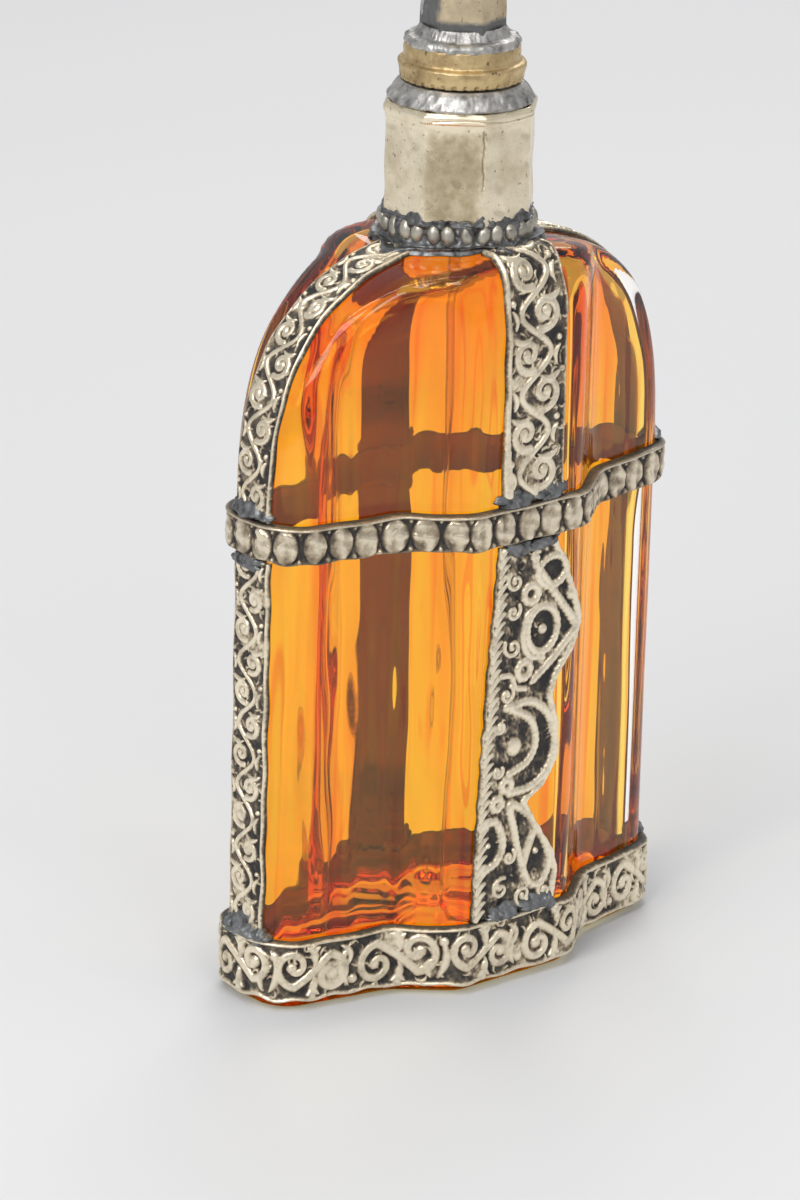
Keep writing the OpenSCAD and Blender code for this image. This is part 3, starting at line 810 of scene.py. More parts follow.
def paint_belt(field, z, edge, crown):
    """A row of ovals with a bead between each pair at the lower edge."""
    pitch = 4.55
    middle = (BELT_Z + BELT_TOP) / 2
    field.ground(0.12, 0.2, 3)
    shade = field.noise(2.6, 405)
    rng = field.rng
    for k in range(int(4 * QUARTER / pitch)):
        u = -2 * QUARTER + (k + 0.5) * pitch + rng.uniform(-0.2, 0.2)
        tall = 2.2 * rng.uniform(0.94, 1.04)
        wide = 1.6 * rng.uniform(0.9, 1.08)
        v = middle - 0.1 + rng.uniform(-0.12, 0.12)
        share = ((field.u - u) / (wide + 0.5)) ** 2 + ((field.v - v) / (tall + 0.5)) ** 2
        groove = 0.6 * np.exp(-((share - 1.05) / 0.16) ** 2)
        # Painted light and shade: lean raises each oval towards one side, so the colour ramp shows
        # that side lit and the other side shaded.
        lean = 0.12 * (field.u - u) / wide * np.exp(-share)
        dome = 0.9 * np.clip(1 - share, 0, 1) ** 0.2 + lean + 0.2 * shade
        field.h = np.maximum(field.h - groove, np.where(share < 1, dome, 0))
        field.leaf([u - 0.6, v - 1.3], [u + 0.4, v + 1.2], 0.35, 0.5, top=rng.uniform(0.7, 1.0))
        field.boss(u + pitch / 2, BELT_Z + 0.85, 0.5, 0.85)
        field.boss(u + pitch / 2, BELT_TOP - 1.0, 0.35, 0.8)
    field.rim(BELT_TOP - crown[None, :] - z, 0.35, 0.36, 1.0)
    field.rim(z - BELT_Z - edge[None, :], 0.3, 0.22, 0.6)
    field.worn(12, 0.6, 1.5, 0.25)


# ---------- straps down the flask ----------

def meridian(toward, z_low, z_high):
    """Height and lean along a strap's middle at even distances up it, and those distances."""
    path = [(z, 0.0) for z in np.arange(z_low, min(z_high, SHOULDER_Z), 0.2)]
    if z_high > SHOULDER_Z:
        path += [(SHOULDER_Z, a) for a in np.linspace(0, STRAP_END, 260)]
    path = np.array(path)
    origin, ray = strap_rays(toward, np.zeros(len(path)), path)
    line = OUTER.cast(origin, ray)
    along = np.concatenate([[0], np.cumsum(np.linalg.norm(np.diff(line, axis=0), axis=1))])
    even = np.linspace(0, along[-1], int(along[-1] / GRID))
    return np.column_stack([np.interp(even, along, path[:, k]) for k in (0, 1)]), even


def strap_rays(toward, across, path):
    """Rays from the flask's middle plane towards a side, at sideways offsets across."""
    toward = np.array(toward, float)
    side = np.array([-toward[1], toward[0]])
    flat = side[None, :] * across[..., None]
    origin = np.concatenate([flat, path[..., 0:1]], -1)
    cos, sin = np.cos(path[..., 1:2]), np.sin(path[..., 1:2])
    return origin, np.concatenate([cos * toward, sin], -1)


def strap(node, toward, z_low, z_high, edges, paint, depth, seed):
    """A strap against the glass. edges gives its left and right edge at distances up it."""
    path, even = meridian(toward, z_low, z_high)
    left, right = edges(even)
    steps = int(np.max(right - left) / GRID)
    f = np.linspace(0, 1, steps)
    across = left[:, None] + (right - left)[:, None] * f[None, :]
    along = np.broadcast_to(even[:, None], across.shape)
    origin, ray = strap_rays(toward, across, np.broadcast_to(path[:, None, :], (*across.shape, 2)))
    skin = OUTER.cast(origin, ray)
    normal = OUTER.normal(skin)
    field = Relief(across, along, seed)
    paint(field, left[:, None], right[:, None])
    edge = np.minimum(across - left[:, None], right[:, None] - across)
    roll = np.clip(edge / 0.3, 0, 1) ** 0.5
    wobble = 0.1 * waves(np.stack([across, along], -1), 12, seed + 9)
    lift = 0.35 + depth * field.h * (0.4 + 0.6 * roll) + wobble - 0.2 * (1 - roll)
    front = skin + normal * lift[..., None]
    back = skin + normal * 0.03
    plate(f"{node}_relief", front, back, field.h * (0.5 + 0.5 * roll), [M["relief"], M["back"]],
          "root", node)


def straight_edges(low, high, wave, seed):
    """Edges of a strap of even width that wander a little."""
    def edges(even):
        p = even[:, None]
        return low + wave * waves(p, 11, seed), high + wave * waves(p, 11, seed + 1)

    return edges


def paint_side(field, left, right):
    """A winding stem with small scrolls between two fine rims."""
    field.ground(0.12, 0.12, 5)
    vine(field, -0.3, 1.0, field.v.max(), 3.1, 1.85, 0.55, 5.0)
    field.scatter(160, 1.3, 0.26, 0.7)
    field.rim(right - field.u, 0.4, 0.3, 0.8)
    field.rim(field.u - left, 0.25, 0.2, 0.75)
    field.worn(9, 0.4, 1.2, 0.5)


def paint_upper_front(field, left, right):
    """A stem with large scrolls, and a plain strip low on the left that narrows upwards."""
    field.ground(0.14, 0.14, 5)
    vine(field, 0.5, 1.5, field.v.max(), 4.6, 2.75, 0.8, 6.2)
    strip = 1.7 * np.clip(1 - (field.v - 4) / 14, 0, 1)
    field.h = np.maximum(field.h, np.where(field.u - left < strip, 0.85, 0))
    field.scatter(190, 1.6, 0.3, 0.75)
    field.rim(right - field.u, 0.3, 0.22, 0.7)
    field.rim(field.u - left, 0.55, 0.5, 0.9)
    field.worn(9, 0.3, 1.1, 0.6)


def paint_back(field, left, right):
    """A winding stem between two plain rims."""
    field.ground(0.14, 0.14, 5)
    vine(field, 0.0, 1.2, field.v.max(), 3.6, 2.1, 0.55, 5.2)
    field.rim(right - field.u, 0.35, 0.3, 0.9)
    field.rim(field.u - left, 0.35, 0.3, 0.9)


def oval(u, v, ru, rv, count=10):
    """Points round an oval."""
    a = circle(count)
    return np.column_stack([u + ru * np.cos(a), v + rv * np.sin(a)])


# Ornament of the lower front strap, by sideways place and height: dark hollows (with their half
# width and half height), lines with serrated edges, domes (radius), small scrolls (radius, start
# angle, hand) and plain tendrils
DARK_CELLS = [(5.2, 65.8, 3.0, 2.4), (3.4, 56.7, 3.0, 3.6), (4.2, 47.9, 2.2, 1.8),
              (8.4, 57.6, 1.8, 2.6), (4.6, 38.2, 2.6, 5.6), (3.6, 20.0, 1.9, 3.4),
              (-5.2, 23.0, 1.7, 3.2), (1.0, 62.8, 1.1, 1.0)]
TOOTHED_LOOPS = [oval(5.2, 65.8, 2.9, 2.4), oval(1.0, 62.8, 1.45, 1.35, 8),
                 oval(3.4, 56.7, 3.0, 3.7), oval(0.0, 50.7, 1.35, 1.35, 8),
                 oval(-2.9, 32.6, 1.0, 0.95, 8), oval(-4.6, 29.8, 1.0, 0.9, 8),
                 [(-1.8, 29), (1.4, 27.2), (4.4, 23.4), (6.4, 18.8), (5.2, 15.0), (2.6, 15.2),
                  (0.6, 19.4), (-1.0, 25.0)]]
TOOTHED_LINES = [[(1.7, 67.4), (6.0, 61.8), (10.4, 56.0)],
                 [(11.0, 56.0), (6.4, 52.0), (1.7, 48.4)],
                 [(-3.2, 45.3), (2.0, 45.2), (5.6, 42.0), (6.8, 38.0), (5.6, 33.8), (2.2, 31.4),
                  (-2.2, 31.1)],
                 [(-2.2, 44.8), (1.5, 42.5), (3.0, 38.6), (1.3, 35.6), (-2.8, 34.3)],
                 [(-7.6, 26.6), (-4.8, 27.0), (-3.2, 23.4), (-4.2, 20.4), (-7.4, 19.0)]]
BOSSES = [(3.4, 56.7, 0.95), (9.2, 61.4, 1.3), (-1.6, 38.6, 1.75), (10.4, 56.2, 0.9),
          (-4.2, 16.2, 0.8), (3.6, 20.4, 0.6), (7.2, 64.0, 0.6), (2.0, 12.8, 0.7), (-6.2, 23.4, 0.6)]
CURLS = [(-2.3, 65.4, 1.7, 2.2, 1), (-2.6, 60.6, 1.5, 0.6, -1), (-2.4, 54.9, 1.8, 2.6, 1),
         (-3.4, 47.4, 1.5, 1.0, -1), (-4.5, 42.4, 1.2, 3.0, 1), (-4.9, 35.2, 1.1, 0.4, -1),
         (-3.4, 15.6, 1.9, 1.2, 1), (1.3, 13.6, 1.6, 4.0, -1), (5.6, 13.4, 1.4, 2.0, 1),
         (-1.9, 20.6, 1.3, 0.8, -1), (1.6, 68.6, 1.0, 1.0, 1)]
TENDRILS = [[(2.2, 60.6), (0.2, 59.2), (-0.4, 55.5), (1.0, 52.8), (3.8, 52.0)],
            [(-4.6, 50.6), (-2.6, 50.2), (-1.6, 48.2), (0.4, 47.6)]]

# Edges of the lower front strap: height and sideways place
LOWER_LEFT = [(11.3, -8.9), (23.6, -8.6), (39.8, -7.8), (55.7, -6.8), (68.3, -5.8), (71.5, -5.6)]
LOWER_RIGHT = [(11.3, 7.6), (12.3, 7.8), (16.4, 8.3), (19.9, 7.3), (23.9, 4.6), (29.1, 1.3),
               (31.2, 4.9), (35.5, 7.6), (40.5, 7.6), (45.7, 5.9), (48.7, 7.0), (52.2, 9.9),
               (56.3, 11.9), (61.9, 10.0), (67.1, 8.2), (69.9, 6.2), (71.5, 5.6)]


def scalloped_edges(even):
    """Edges of the lower front strap: nearly straight on the left, three scallops on the right."""
    z = BASE_TOP + even
    fine = np.linspace(BASE_TOP, BELT_Z, 600)
    left = np.interp(z, *np.array(LOWER_LEFT).T)
    right = np.interp(fine, *np.array(LOWER_RIGHT).T)
    kernel = np.hanning(21)
    wide = np.concatenate([[right[0]] * 10, right, [right[-1]] * 10])
    right = np.interp(z, fine, np.convolve(wide, kernel / kernel.sum(), "valid"))
    return left + 0.12 * waves(even[:, None], 5, 4), right + 0.1 * waves(even[:, None], 3, 6)


def paint_lower_front(field, left, right):
    """A rope down the left, and toothed loops, bosses and a crescent to its right."""
    field.v = field.v + BASE_TOP
    field.ground(0.22, 0.24, 3)
    for u, v, ru, rv in DARK_CELLS:
        inside = ((field.u - u) / ru) ** 2 + ((field.v - v) / rv) ** 2
        field.h = field.h * smoothstep(inside, 0.6, 1.1)
    rope = np.arange(BASE_TOP, BELT_Z, 0.1)
    middle = np.interp(rope, *np.array(LOWER_LEFT).T) + 1.3
    for v in np.arange(BASE_TOP + 0.6, BELT_Z, 1.5):
        u = np.interp(v, rope, middle)
        field.leaf([u - 0.95, v - 0.95], [u + 0.95, v + 0.95], 0.12, 0.66)
    field.rim(field.u - left, 0.15, 0.2, 0.7)
    for points in TOOTHED_LINES:
        field.toothed(points, 0.68)
    for points in TOOTHED_LOOPS:
        field.toothed(points, 0.64, closed=True)
    for u, v, radius in BOSSES:
        field.boss(u, v, radius)
    for u, v, radius, start, hand in CURLS:
        field.spiral(u, v, radius, start, hand, 0.46, turns=1.2, groove=0.15)
    for points in TENDRILS:
        field.curve(points, 0.58, groove=0.15)
    field.leaf((4.4, 25.2), (1.2, 16.4), -0.1, 1.15, top=0.8)
    field.scatter(120, 1.2, 0.26, 0.6)
    fine = np.linspace(BASE_TOP, BELT_Z, 240)
    edge = np.interp(fine, *np.array(LOWER_RIGHT).T) - 0.65
    field.stroke(np.column_stack([edge, fine]), serrated(0.66, fine))


def make_straps():
    """Eight straps: on each side one below the belt and one from the belt over the shoulder."""
    below = BASE_TOP + 0.02, BELT_Z - 0.02
    above = BELT_TOP + 0.02, NECK_TOP
    left, right = (straight_edges(-3.95, 3.95, 0.12, seed) for seed in (3, 8))
    back = straight_edges(-BACK_STRAP_W / 2, BACK_STRAP_W / 2, 0.12, 11)
    front = straight_edges(-5.3, 6.7, 0.15, 5)
    for node, toward, reach, edges, paint, depth, seed in (
            ("left_strap_lower", (-1, 0), below, left, paint_side, 0.55, 3),
            ("left_strap_upper", (-1, 0), above, left, paint_side, 0.55, 4),
            ("right_strap_lower", (1, 0), below, right, paint_side, 0.55, 8),
            ("right_strap_upper", (1, 0), above, right, paint_side, 0.55, 9),
            ("back_strap_lower", (0, 1), below, back, paint_back, 0.6, 11),
            ("back_strap_upper", (0, 1), above, back, paint_back, 0.6, 12),
            ("front_strap_lower", (0, -1), below, scalloped_edges, paint_lower_front, 0.7, 5),
            ("front_strap_upper", (0, -1), above, front, paint_upper_front, 0.65, 6)):
        strap(node, toward, *reach, edges, paint, depth, seed)


# ---------- glass ----------

def uneven(xy, z, amount, seed):
    """Moves points of the blown glass in or out in long upright streaks."""
    p = np.concatenate([xy, z[..., None] * 0.14], -1)
    streak = waves(p, 11, seed) * 0.7 + waves(p, 4.6, seed + 1) * 0.32 + waves(p, 2.2, seed + 2) * 0.05
    r = np.linalg.norm(xy, axis=-1, keepdims=True)
    return xy * (1 + amount * streak[..., None] / np.maximum(r, 1))


def make_glass():
    """One closed double wall: clear outside, with the amber colour on its inner face."""
    columns = 560
    s = np.linspace(-2 * QUARTER, 2 * QUARTER, columns, endpoint=False)
    xy, _ = plan_at(s, GLASS_IN)
    theta = np.arctan2(xy[:, 1], xy[:, 0])
    flat = np.stack([np.cos(theta), np.sin(theta)], -1)
    rows, marks = [], []

    def ring(points_xy, z, mark):
        z = np.broadcast_to(z, len(points_xy)).astype(float)
        rows.append(np.column_stack([points_xy, z]))
        marks.append(mark)

    def shoulder(surface, a):
        """Where rays that rise at angle a from the middle of the shoulders' foot meet a surface."""
        origin = np.tile([0.0, 0.0, SHOULDER_Z], (columns, 1))
        rays = np.column_stack([flat * math.cos(a), np.full(columns, math.sin(a))])
        return surface.cast(origin, rays)

    foot, lip_h, amber_top, heel = 1.2, 0.5, 113.2, 3.0
    for share in (0.15, 0.45, 0.75, 0.9):
        ring(plan_at(s, GLASS_IN + foot)[0] * share, 0.5 * (1 - share ** 4), 1)
    for a in np.linspace(0, math.pi / 2, 7):
        ring(plan_at(s, GLASS_IN + foot * (1 - math.sin(a)))[0], foot * (1 - math.cos(a)), 1)
    for z in np.linspace(foot, SHOULDER_Z, 26)[1:-1]:
        ring(uneven(xy, np.full(columns, z), 0.03, 21), z, 0)
    rise = np.linspace(0, 1, 46)
    high = math.atan2(ARCH_TOP - 0.6 - SHOULDER_Z, NECK_R + 0.1)
    for a in high * (1 - (1 - rise) ** 1.15):
        rows.append(shoulder(OUTER, a))
        marks.append(0)
    neck_foot = ARCH_TOP + 0.6
    for z in np.linspace(neck_foot, NECK_TOP - lip_h, 8):
        ring(flat * NECK_R, z, 0)
    lip = (NECK_R - NECK_BORE) / 2
    for a in np.linspace(0, math.pi, 7)[1:-1]:
        height = NECK_TOP - lip_h + lip_h * math.sin(a)
        ring(flat * (NECK_BORE + lip + lip * math.cos(a)), height, 0)
    for z in np.linspace(NECK_TOP - lip_h, amber_top, 8):
        ring(flat * NECK_BORE, z, 0)
    marks[-1] = 1
    low_top = math.atan2(ARCH_TOP - GLASS_WALL - 0.6 - SHOULDER_Z, NECK_BORE + 0.1)
    for a in low_top * (1 - (1 - rise[::-1]) ** 1.15):
        skin = shoulder(INNER, a)
        fade = RIPPLE * (1 - a / low_top)
        skin[:, :2] = uneven(skin[:, :2], skin[:, 2], fade, 31)
        rows.append(skin)
        marks.append(1)
    for z in np.linspace(SHOULDER_Z, FLOOR_Z + heel, 44)[1:]:
        level = np.full(columns, z)
        wall = flat * INNER.radius(theta, level)[:, None]
        ring(uneven(wall, level, RIPPLE, 31), z, 1)
    base = uneven(wall, np.full(columns, FLOOR_Z + heel), RIPPLE, 31)
    reach = np.linalg.norm(base, axis=1, keepdims=True)
    for a in np.linspace(0, math.pi / 2, 8)[1:]:
        ring(base * (1 - heel * (1 - math.cos(a)) / reach), FLOOR_Z + heel * (1 - math.sin(a)), 1)
    for share in (0.85, 0.6, 0.35, 0.12):
        sag = 0.5 * waves(base * share, 9, 41) + 0.9 * (1 - share)
        ring(base * (1 - heel / reach) * share, FLOOR_Z + np.maximum(sag, -0.5), 1)
    loft("flask_glass", rows, [M["clear"], M["amber"]], "root", "glass_bottle",
         ring=False, rows_material=marks)


# ---------- solder ----------

def merge(parts):
    """One list of points and one of faces from several closed lumps."""
    points, faces, first = [], [], 0
    for p, f in parts:
        points.append(p)
        faces += [[i + first for i in face] for face in f]
        first += len(p)
    return np.vstack(points), faces


def splash(toward, across, z, wide, tall, thick, edge_z, step, seed):
    """A splash of solder on the flask. Below edge_z it stands step[1] from the glass, to lie over
    a band, and above it step[0], all times thick."""
    phi = circle(72)
    unit_circle = np.column_stack([np.cos(phi), np.sin(phi)])
    rim = 1 + 0.16 * waves(unit_circle, 1.6, seed) + 0.08 * waves(unit_circle, 0.7, seed + 1)
    rows = []
    back, front = [0.08, 1.0], np.cos(np.linspace(0, math.pi / 2 - 0.06, 26))
    for k, share in enumerate([*back, *front]):
        a = across + wide * share * rim * np.cos(phi)
        h = z + tall * share * rim * np.sin(phi)
        origin, ray = strap_rays(toward, a, np.stack([h, 0 * h], -1))
        skin = OUTER.cast(origin, ray)
        if k < len(back):
            lift = np.full(len(phi), 0.04)
        else:
            body = np.clip(1 - share ** 3, 0, 1) ** 0.4
            low, high = step
            level = high + (low - high) * smoothstep(h, edge_z - 0.4, edge_z + 1.6)
            lump = waves(np.column_stack([a, h]), 2.2, seed + 2) * 0.14
            lump = lump + waves(np.column_stack([a, h]), 0.9, seed + 3) * 0.05
            lift = 0.05 + body * (level + lump) * thick
        rows.append(skin + OUTER.normal(skin) * np.minimum(lift, GLASS_IN - 0.02)[:, None])
    return capped(rows)


def make_joint_solder():
    """Solder over the places where straps meet the base band and the belt."""
    sides = (((-1, 0), 3.9, 0.0), ((1, 0), 3.9, 0.0), ((0, -1), 6.0, 0.7), ((0, 1), 6.0, -0.7))
    base, belt = [], []
    for k, (toward, half, middle) in enumerate(sides):
        seed = 100 + 20 * k
        offsets = (-0.55, 0.5) if half > 5 else (-0.2,)
        for j, share in enumerate(offsets):
            wide = half * (1.15 if len(offsets) == 1 else 0.62)
            base.append(splash(toward, middle + half * share, BASE_TOP + 0.6, wide,
                               2.3 if half < 5 else 1.7, 1.0, BASE_TOP, (1.05, 1.76), seed + j))
            belt.append(splash(toward, middle + half * share, BELT_TOP + 0.9, wide,
                               1.5, 1.0, BELT_TOP, (1.0, 1.7), seed + 4 + j))
            belt.append(splash(toward, middle + half * share * 0.8, BELT_Z - 0.7, wide * 0.9,
                               1.3, 0.95, BELT_Z + 4, (1.5, 1.5), seed + 8 + j))
        base.append(splash(toward, middle - half * 0.8, BASE_TOP + 0.2, 1.6, 1.2, 1.0,
                           BASE_TOP, (1.3, 1.76), seed + 12))
        base.append(splash(toward, middle + half * 0.95, BASE_TOP + 0.1, 1.3, 1.5, 1.0,
                           BASE_TOP, (1.3, 1.76), seed + 13))
    for name, node, parts in (("base_solder", "base_solder_joints", base),
                              ("belt_solder", "belt_solder_joints", belt)):
        points, faces = merge(parts)
        add_piece(name, points, faces, [M["dark_solder"]], "root", node)


def collar_radius(theta):
    """The octagonal collar's outside."""
    return polygon_radius(theta, COLLAR_FLAT - 0.08, 8, 0.0, 90)


def ring_noise(theta, z, scale, seed, radius=12.0):
    """Noise on a round part: theta and z broadcast together."""
    theta, z = np.broadcast_arrays(theta, z)
    p = np.stack([radius * np.cos(theta), radius * np.sin(theta), z], -1)
    return waves(p, scale, seed)


def make_neck_solder():
    """Solder from the shoulders up to the collar, creeping up it and out along the straps."""
    theta = circle(420)
    toward_strap = np.abs(np.cos(2 * theta)) ** 14
    spread = 12.9 + 0.5 * ring_noise(theta, 0.0, 7, 51) + 2.2 * toward_strap
    creep = 0.75 + 0.9 * np.clip(ring_noise(theta, 0.0, 5.5, 53), 0, 1.1)
    creep = creep + 0.22 * ring_noise(theta, 0.0, 1.5, 54)
    outer = around(spread, theta, SHOULDER_Z)
    skin = OUTER.cast(outer, np.broadcast_to([0.0, 0.0, 1.0], outer.shape))[:, 2]
    collar = collar_radius(theta)
    bury = 0.5 * np.clip(ring_noise(theta, 0.0, 9, 57), 0, 1) + 0.5 * toward_strap
    stations = [(spread, skin + 0.1), (spread - 0.3, skin + 0.75), (spread * 0.5 + 6.3, skin + 1.2),
                (11.9 + 0 * theta, skin + 1.2), (11.0 + bury, 117.2 + 0 * theta),
                (11.0 + bury, 118.5 + 0 * theta), (collar + 0.45, COLLAR_Z + 0.25 + 0 * theta),
                (collar + 0.22, COLLAR_Z + 0.4 * creep), (collar + 0.12, COLLAR_Z + creep),
                (collar - 0.2, COLLAR_Z + creep + 0.1)]
    radial = np.array([r for r, _ in stations])
    height = np.array([z for _, z in stations])
    rings = 46
    t = np.linspace(0, len(stations) - 1, rings)
    i = np.minimum(t.astype(int), len(stations) - 2)
    f = (t - i)[:, None]
    radial = radial[i] * (1 - f) + radial[i + 1] * f
    height = height[i] * (1 - f) + height[i + 1] * f
    lump = 0.22 * ring_noise(theta, height, 2.4, 55) + 0.1 * ring_noise(theta, height, 1.0, 56)
    fade = np.sin(np.linspace(0.15, math.pi - 0.1, rings))[:, None] ** 0.6
    radial = radial + lump * fade
    inner = [(NECK_R + 0.05, COLLAR_Z + 0.4), (NECK_R + 0.05, ARCH_TOP + 0.7), (11, ARCH_TOP - 0.3)]
    rows = [around(r, theta, z) for r, z in [*zip(radial, height), *inner]]
    loft("neck_solder", rows, [M["neck_solder"]], "root", "neck_solder_ring")


def make_beads():
    """A ring of tall beads round the neck, a little apart."""
    rng = np.random.default_rng(7)
    parts = []
    t = np.linspace(0.03, math.pi - 0.03, 14)
    phi = circle(20)
    for k in range(BEAD_COUNT):
        a = TAU * (k + rng.uniform(-0.1, 0.1)) / BEAD_COUNT
        across, tall, deep = rng.uniform(0.95, 1.12), rng.uniform(1.45, 1.75), rng.uniform(0.85, 1.0)
        lean = rng.uniform(-0.12, 0.12)
        x = deep * np.sin(t)[:, None] * np.cos(phi)
        y = across * np.sin(t)[:, None] * np.sin(phi)
        z = -tall * np.sign(np.cos(t)) * np.abs(np.cos(t)) ** 0.85
        z = z[:, None] + 0 * phi
        y = y + lean * z
        r = BEAD_RING_R + x
        points = np.stack([r * math.cos(a) - y * math.sin(a), r * math.sin(a) + y * math.cos(a),
                           BEAD_Z + z - 0.05], -1)
        parts.append(capped(points))
    points, faces = merge(parts)
    add_piece("bead_wire", points, faces, [M["bead"]], "root", "neck_bead_wire")


# ---------- collar and closure ----------

def make_collar():
    """An octagonal sleeve of thin sheet, a little dented, with a rolled and cracked top edge."""
    theta = circle(512)
    wall, roll, fine = 0.8, 1.7, 16
    z = np.concatenate([np.linspace(COLLAR_Z, COLLAR_TOP - roll, 60),
                        COLLAR_TOP - roll + np.cumsum(np.full(fine, roll / fine))])
    up = (z - COLLAR_Z) / (COLLAR_TOP - COLLAR_Z)
    base = collar_radius(theta)[None, :]
    flare = 0.42 * smoothstep(up, 0.82, 0.95) - 0.5 * smoothstep(up, 0.965, 1.0)
    pinch = -0.14 * np.exp(-((z - COLLAR_TOP + 1.75) / 0.22) ** 2)
    dents = 0.09 * ring_noise(theta, z[:, None], 9, 61)
    dents = dents - 0.22 * np.maximum(ring_noise(theta, z[:, None], 5, 62) - 0.8, 0)
    cracked, shaded_facet, half_facet = -108, 225, 22.5
    facing = np.cos(theta - math.radians(cracked))
    line = COLLAR_TOP - 1.15 + 0.25 * np.sin(5 * theta)
    crack = np.exp(-((z[:, None] - line[None, :]) / 0.09) ** 2) * (facing > 0.72)[None, :]
    facet = (np.degrees(theta) % 360 - shaded_facet) / half_facet
    slit_at = 1.0 + 0.02 * np.sin(1.3 * z) + 0.012 * np.sin(4.1 * z + 1)
    slit_long = (up > 0.34) & (up < 0.86)
    slit = np.exp(-((facet[None, :] - slit_at[:, None]) / 0.03) ** 2) * slit_long[:, None]
    outer = base + (flare + pinch)[:, None] + dents - 0.3 * crack - 0.35 * slit
    # Painted shade: the facet at 225 degrees, the one that faces the camera, gets the darker patch
    # colour in place of its darker reflection; the top edge and the slit are darkened as well.
    facet_shade_and_marks = np.exp(-np.abs(facet) ** 8)[None, :] * smoothstep(up, 0.9, 0.75)[:, None]
    facet_shade_and_marks = 0.75 * facet_shade_and_marks + 0.4 * smoothstep(up, 0.97, 1)[:, None]
    facet_shade_and_marks = np.concatenate([np.maximum(facet_shade_and_marks, slit), np.zeros((2, len(theta)))])
    rows = [around(r, theta, h) for r, h in zip(outer, z)]
    rows += [around(base[0] - wall, theta, h) for h in (COLLAR_TOP, COLLAR_Z)]
    loft("collar", rows, [M["collar"]], "root", "collar_sleeve", relief=facet_shade_and_marks)


def turned_piece(name, node, profile, inner, bend, material, body, relief=None):
    """A turned ring; bend shapes its outside, and inner is the (r, z) path back inside."""
    theta = circle(360)
    rows = [*turned(profile, theta, bend), *turned(inner, theta)]
    loft(name, rows, [M[material]], body, node, relief=relief)


def lumpy_ring(name, node, profile, inner, body, lump, seed, scale=3.0):
    """A turned ring of solder with an uneven outside; inner is the (r, z) path back inside."""
    theta = circle(360)
    outside = spline(profile, 40)
    r, z = outside[:, 0][:, None], outside[:, 1][:, None]
    fade = np.sin(np.linspace(0.12, math.pi - 0.12, len(outside)))[:, None] ** 0.5
    noise = ring_noise(theta, z, scale, seed) + 0.4 * ring_noise(theta, z, scale / 2.4, seed + 1)
    wide = r + lump * noise * fade
    high = z + 0.45 * lump * ring_noise(theta, r, scale * 1.3, seed + 2) * fade
    rows = list(np.stack([wide * np.cos(theta), wide * np.sin(theta), high + 0 * wide], -1))
    rows += list(turned(inner, theta))
    loft(name, rows, [M["solder"]], body, node)


def make_closure():
    """Solder on the collar, the brass ring over the neck, and the solder under the stem."""
    seat = COLLAR_TOP - 0.25
    lumpy_ring("collar_solder", "collar_top_solder",
               [(10.6, seat), (11.15, seat + 0.5), (11.0, seat + 1.0), (10.5, seat + 1.7),
                (9.95, seat + 2.5), (9.2, RING_Z - 0.32)],
               [(NECK_R + 0.05, RING_Z - 0.35), (NECK_R + 0.05, seat - 1.5), (9.9, seat - 1.5)],
               "root", 0.13, 71)

    z = RING_Z
    tiers = spline([(9.2, z), (9.35, z + 0.4), (9.4, z + 1.0), (9.55, z + 1.7), (9.68, z + 2.2),
                    (9.68, z + 2.5), (9.4, z + 2.75), (8.95, z + 2.95), (8.8, z + 3.3),
                    (8.8, z + 3.9), (8.78, z + 4.6), (8.65, RING_TOP)], 60)

    def dented(angle, r, z):
        notch = (np.cos(34 * angle) > 0.55) * (1 - smoothstep(z, RING_Z + 0.35, RING_Z + 0.7))
        dents = 0.07 * ring_noise(angle, z, 6, 75)
        return r - 0.28 * notch + dents + 0.03 * ring_noise(angle, z, 1.6, 76)

    step_z = 144.2    # the bore is wider below this, to go over the neck
    bore = [(5.3, RING_TOP), (5.3, step_z), (8.25, step_z), (8.25, RING_Z)]
    turned_piece("brass_ring", "closure_ring", tiers, bore, dented, "brass", "closure")

    lumpy_ring("stem_foot_solder", "closure_solder_disc",
               [(8.2, RING_TOP - 0.35), (8.65, RING_TOP - 0.1), (8.7, RING_TOP + 0.6),
                (8.2, DISC_TOP - 0.1), (7.2, DISC_TOP + 0.15), (6.7, DISC_TOP + 0.9),
                (6.25, DISC_TOP + 1.6)],
               [(5.6, DISC_TOP + 1.3), (5.3, DISC_TOP), (5.3, RING_TOP + 0.02)],
               "closure", 0.12, 81)


def stem_radius(theta, z):
    """The hexagonal stem narrows upwards, with soft corners."""
    share = (z - STEM_Z) / (STEM_TOP - STEM_Z)
    flat = (STEM_R0 + (STEM_R1 - STEM_R0) * share) * math.cos(math.pi / 6)
    return polygon_radius(theta, flat, 6, STEM_TURN + math.pi / 6, 60)


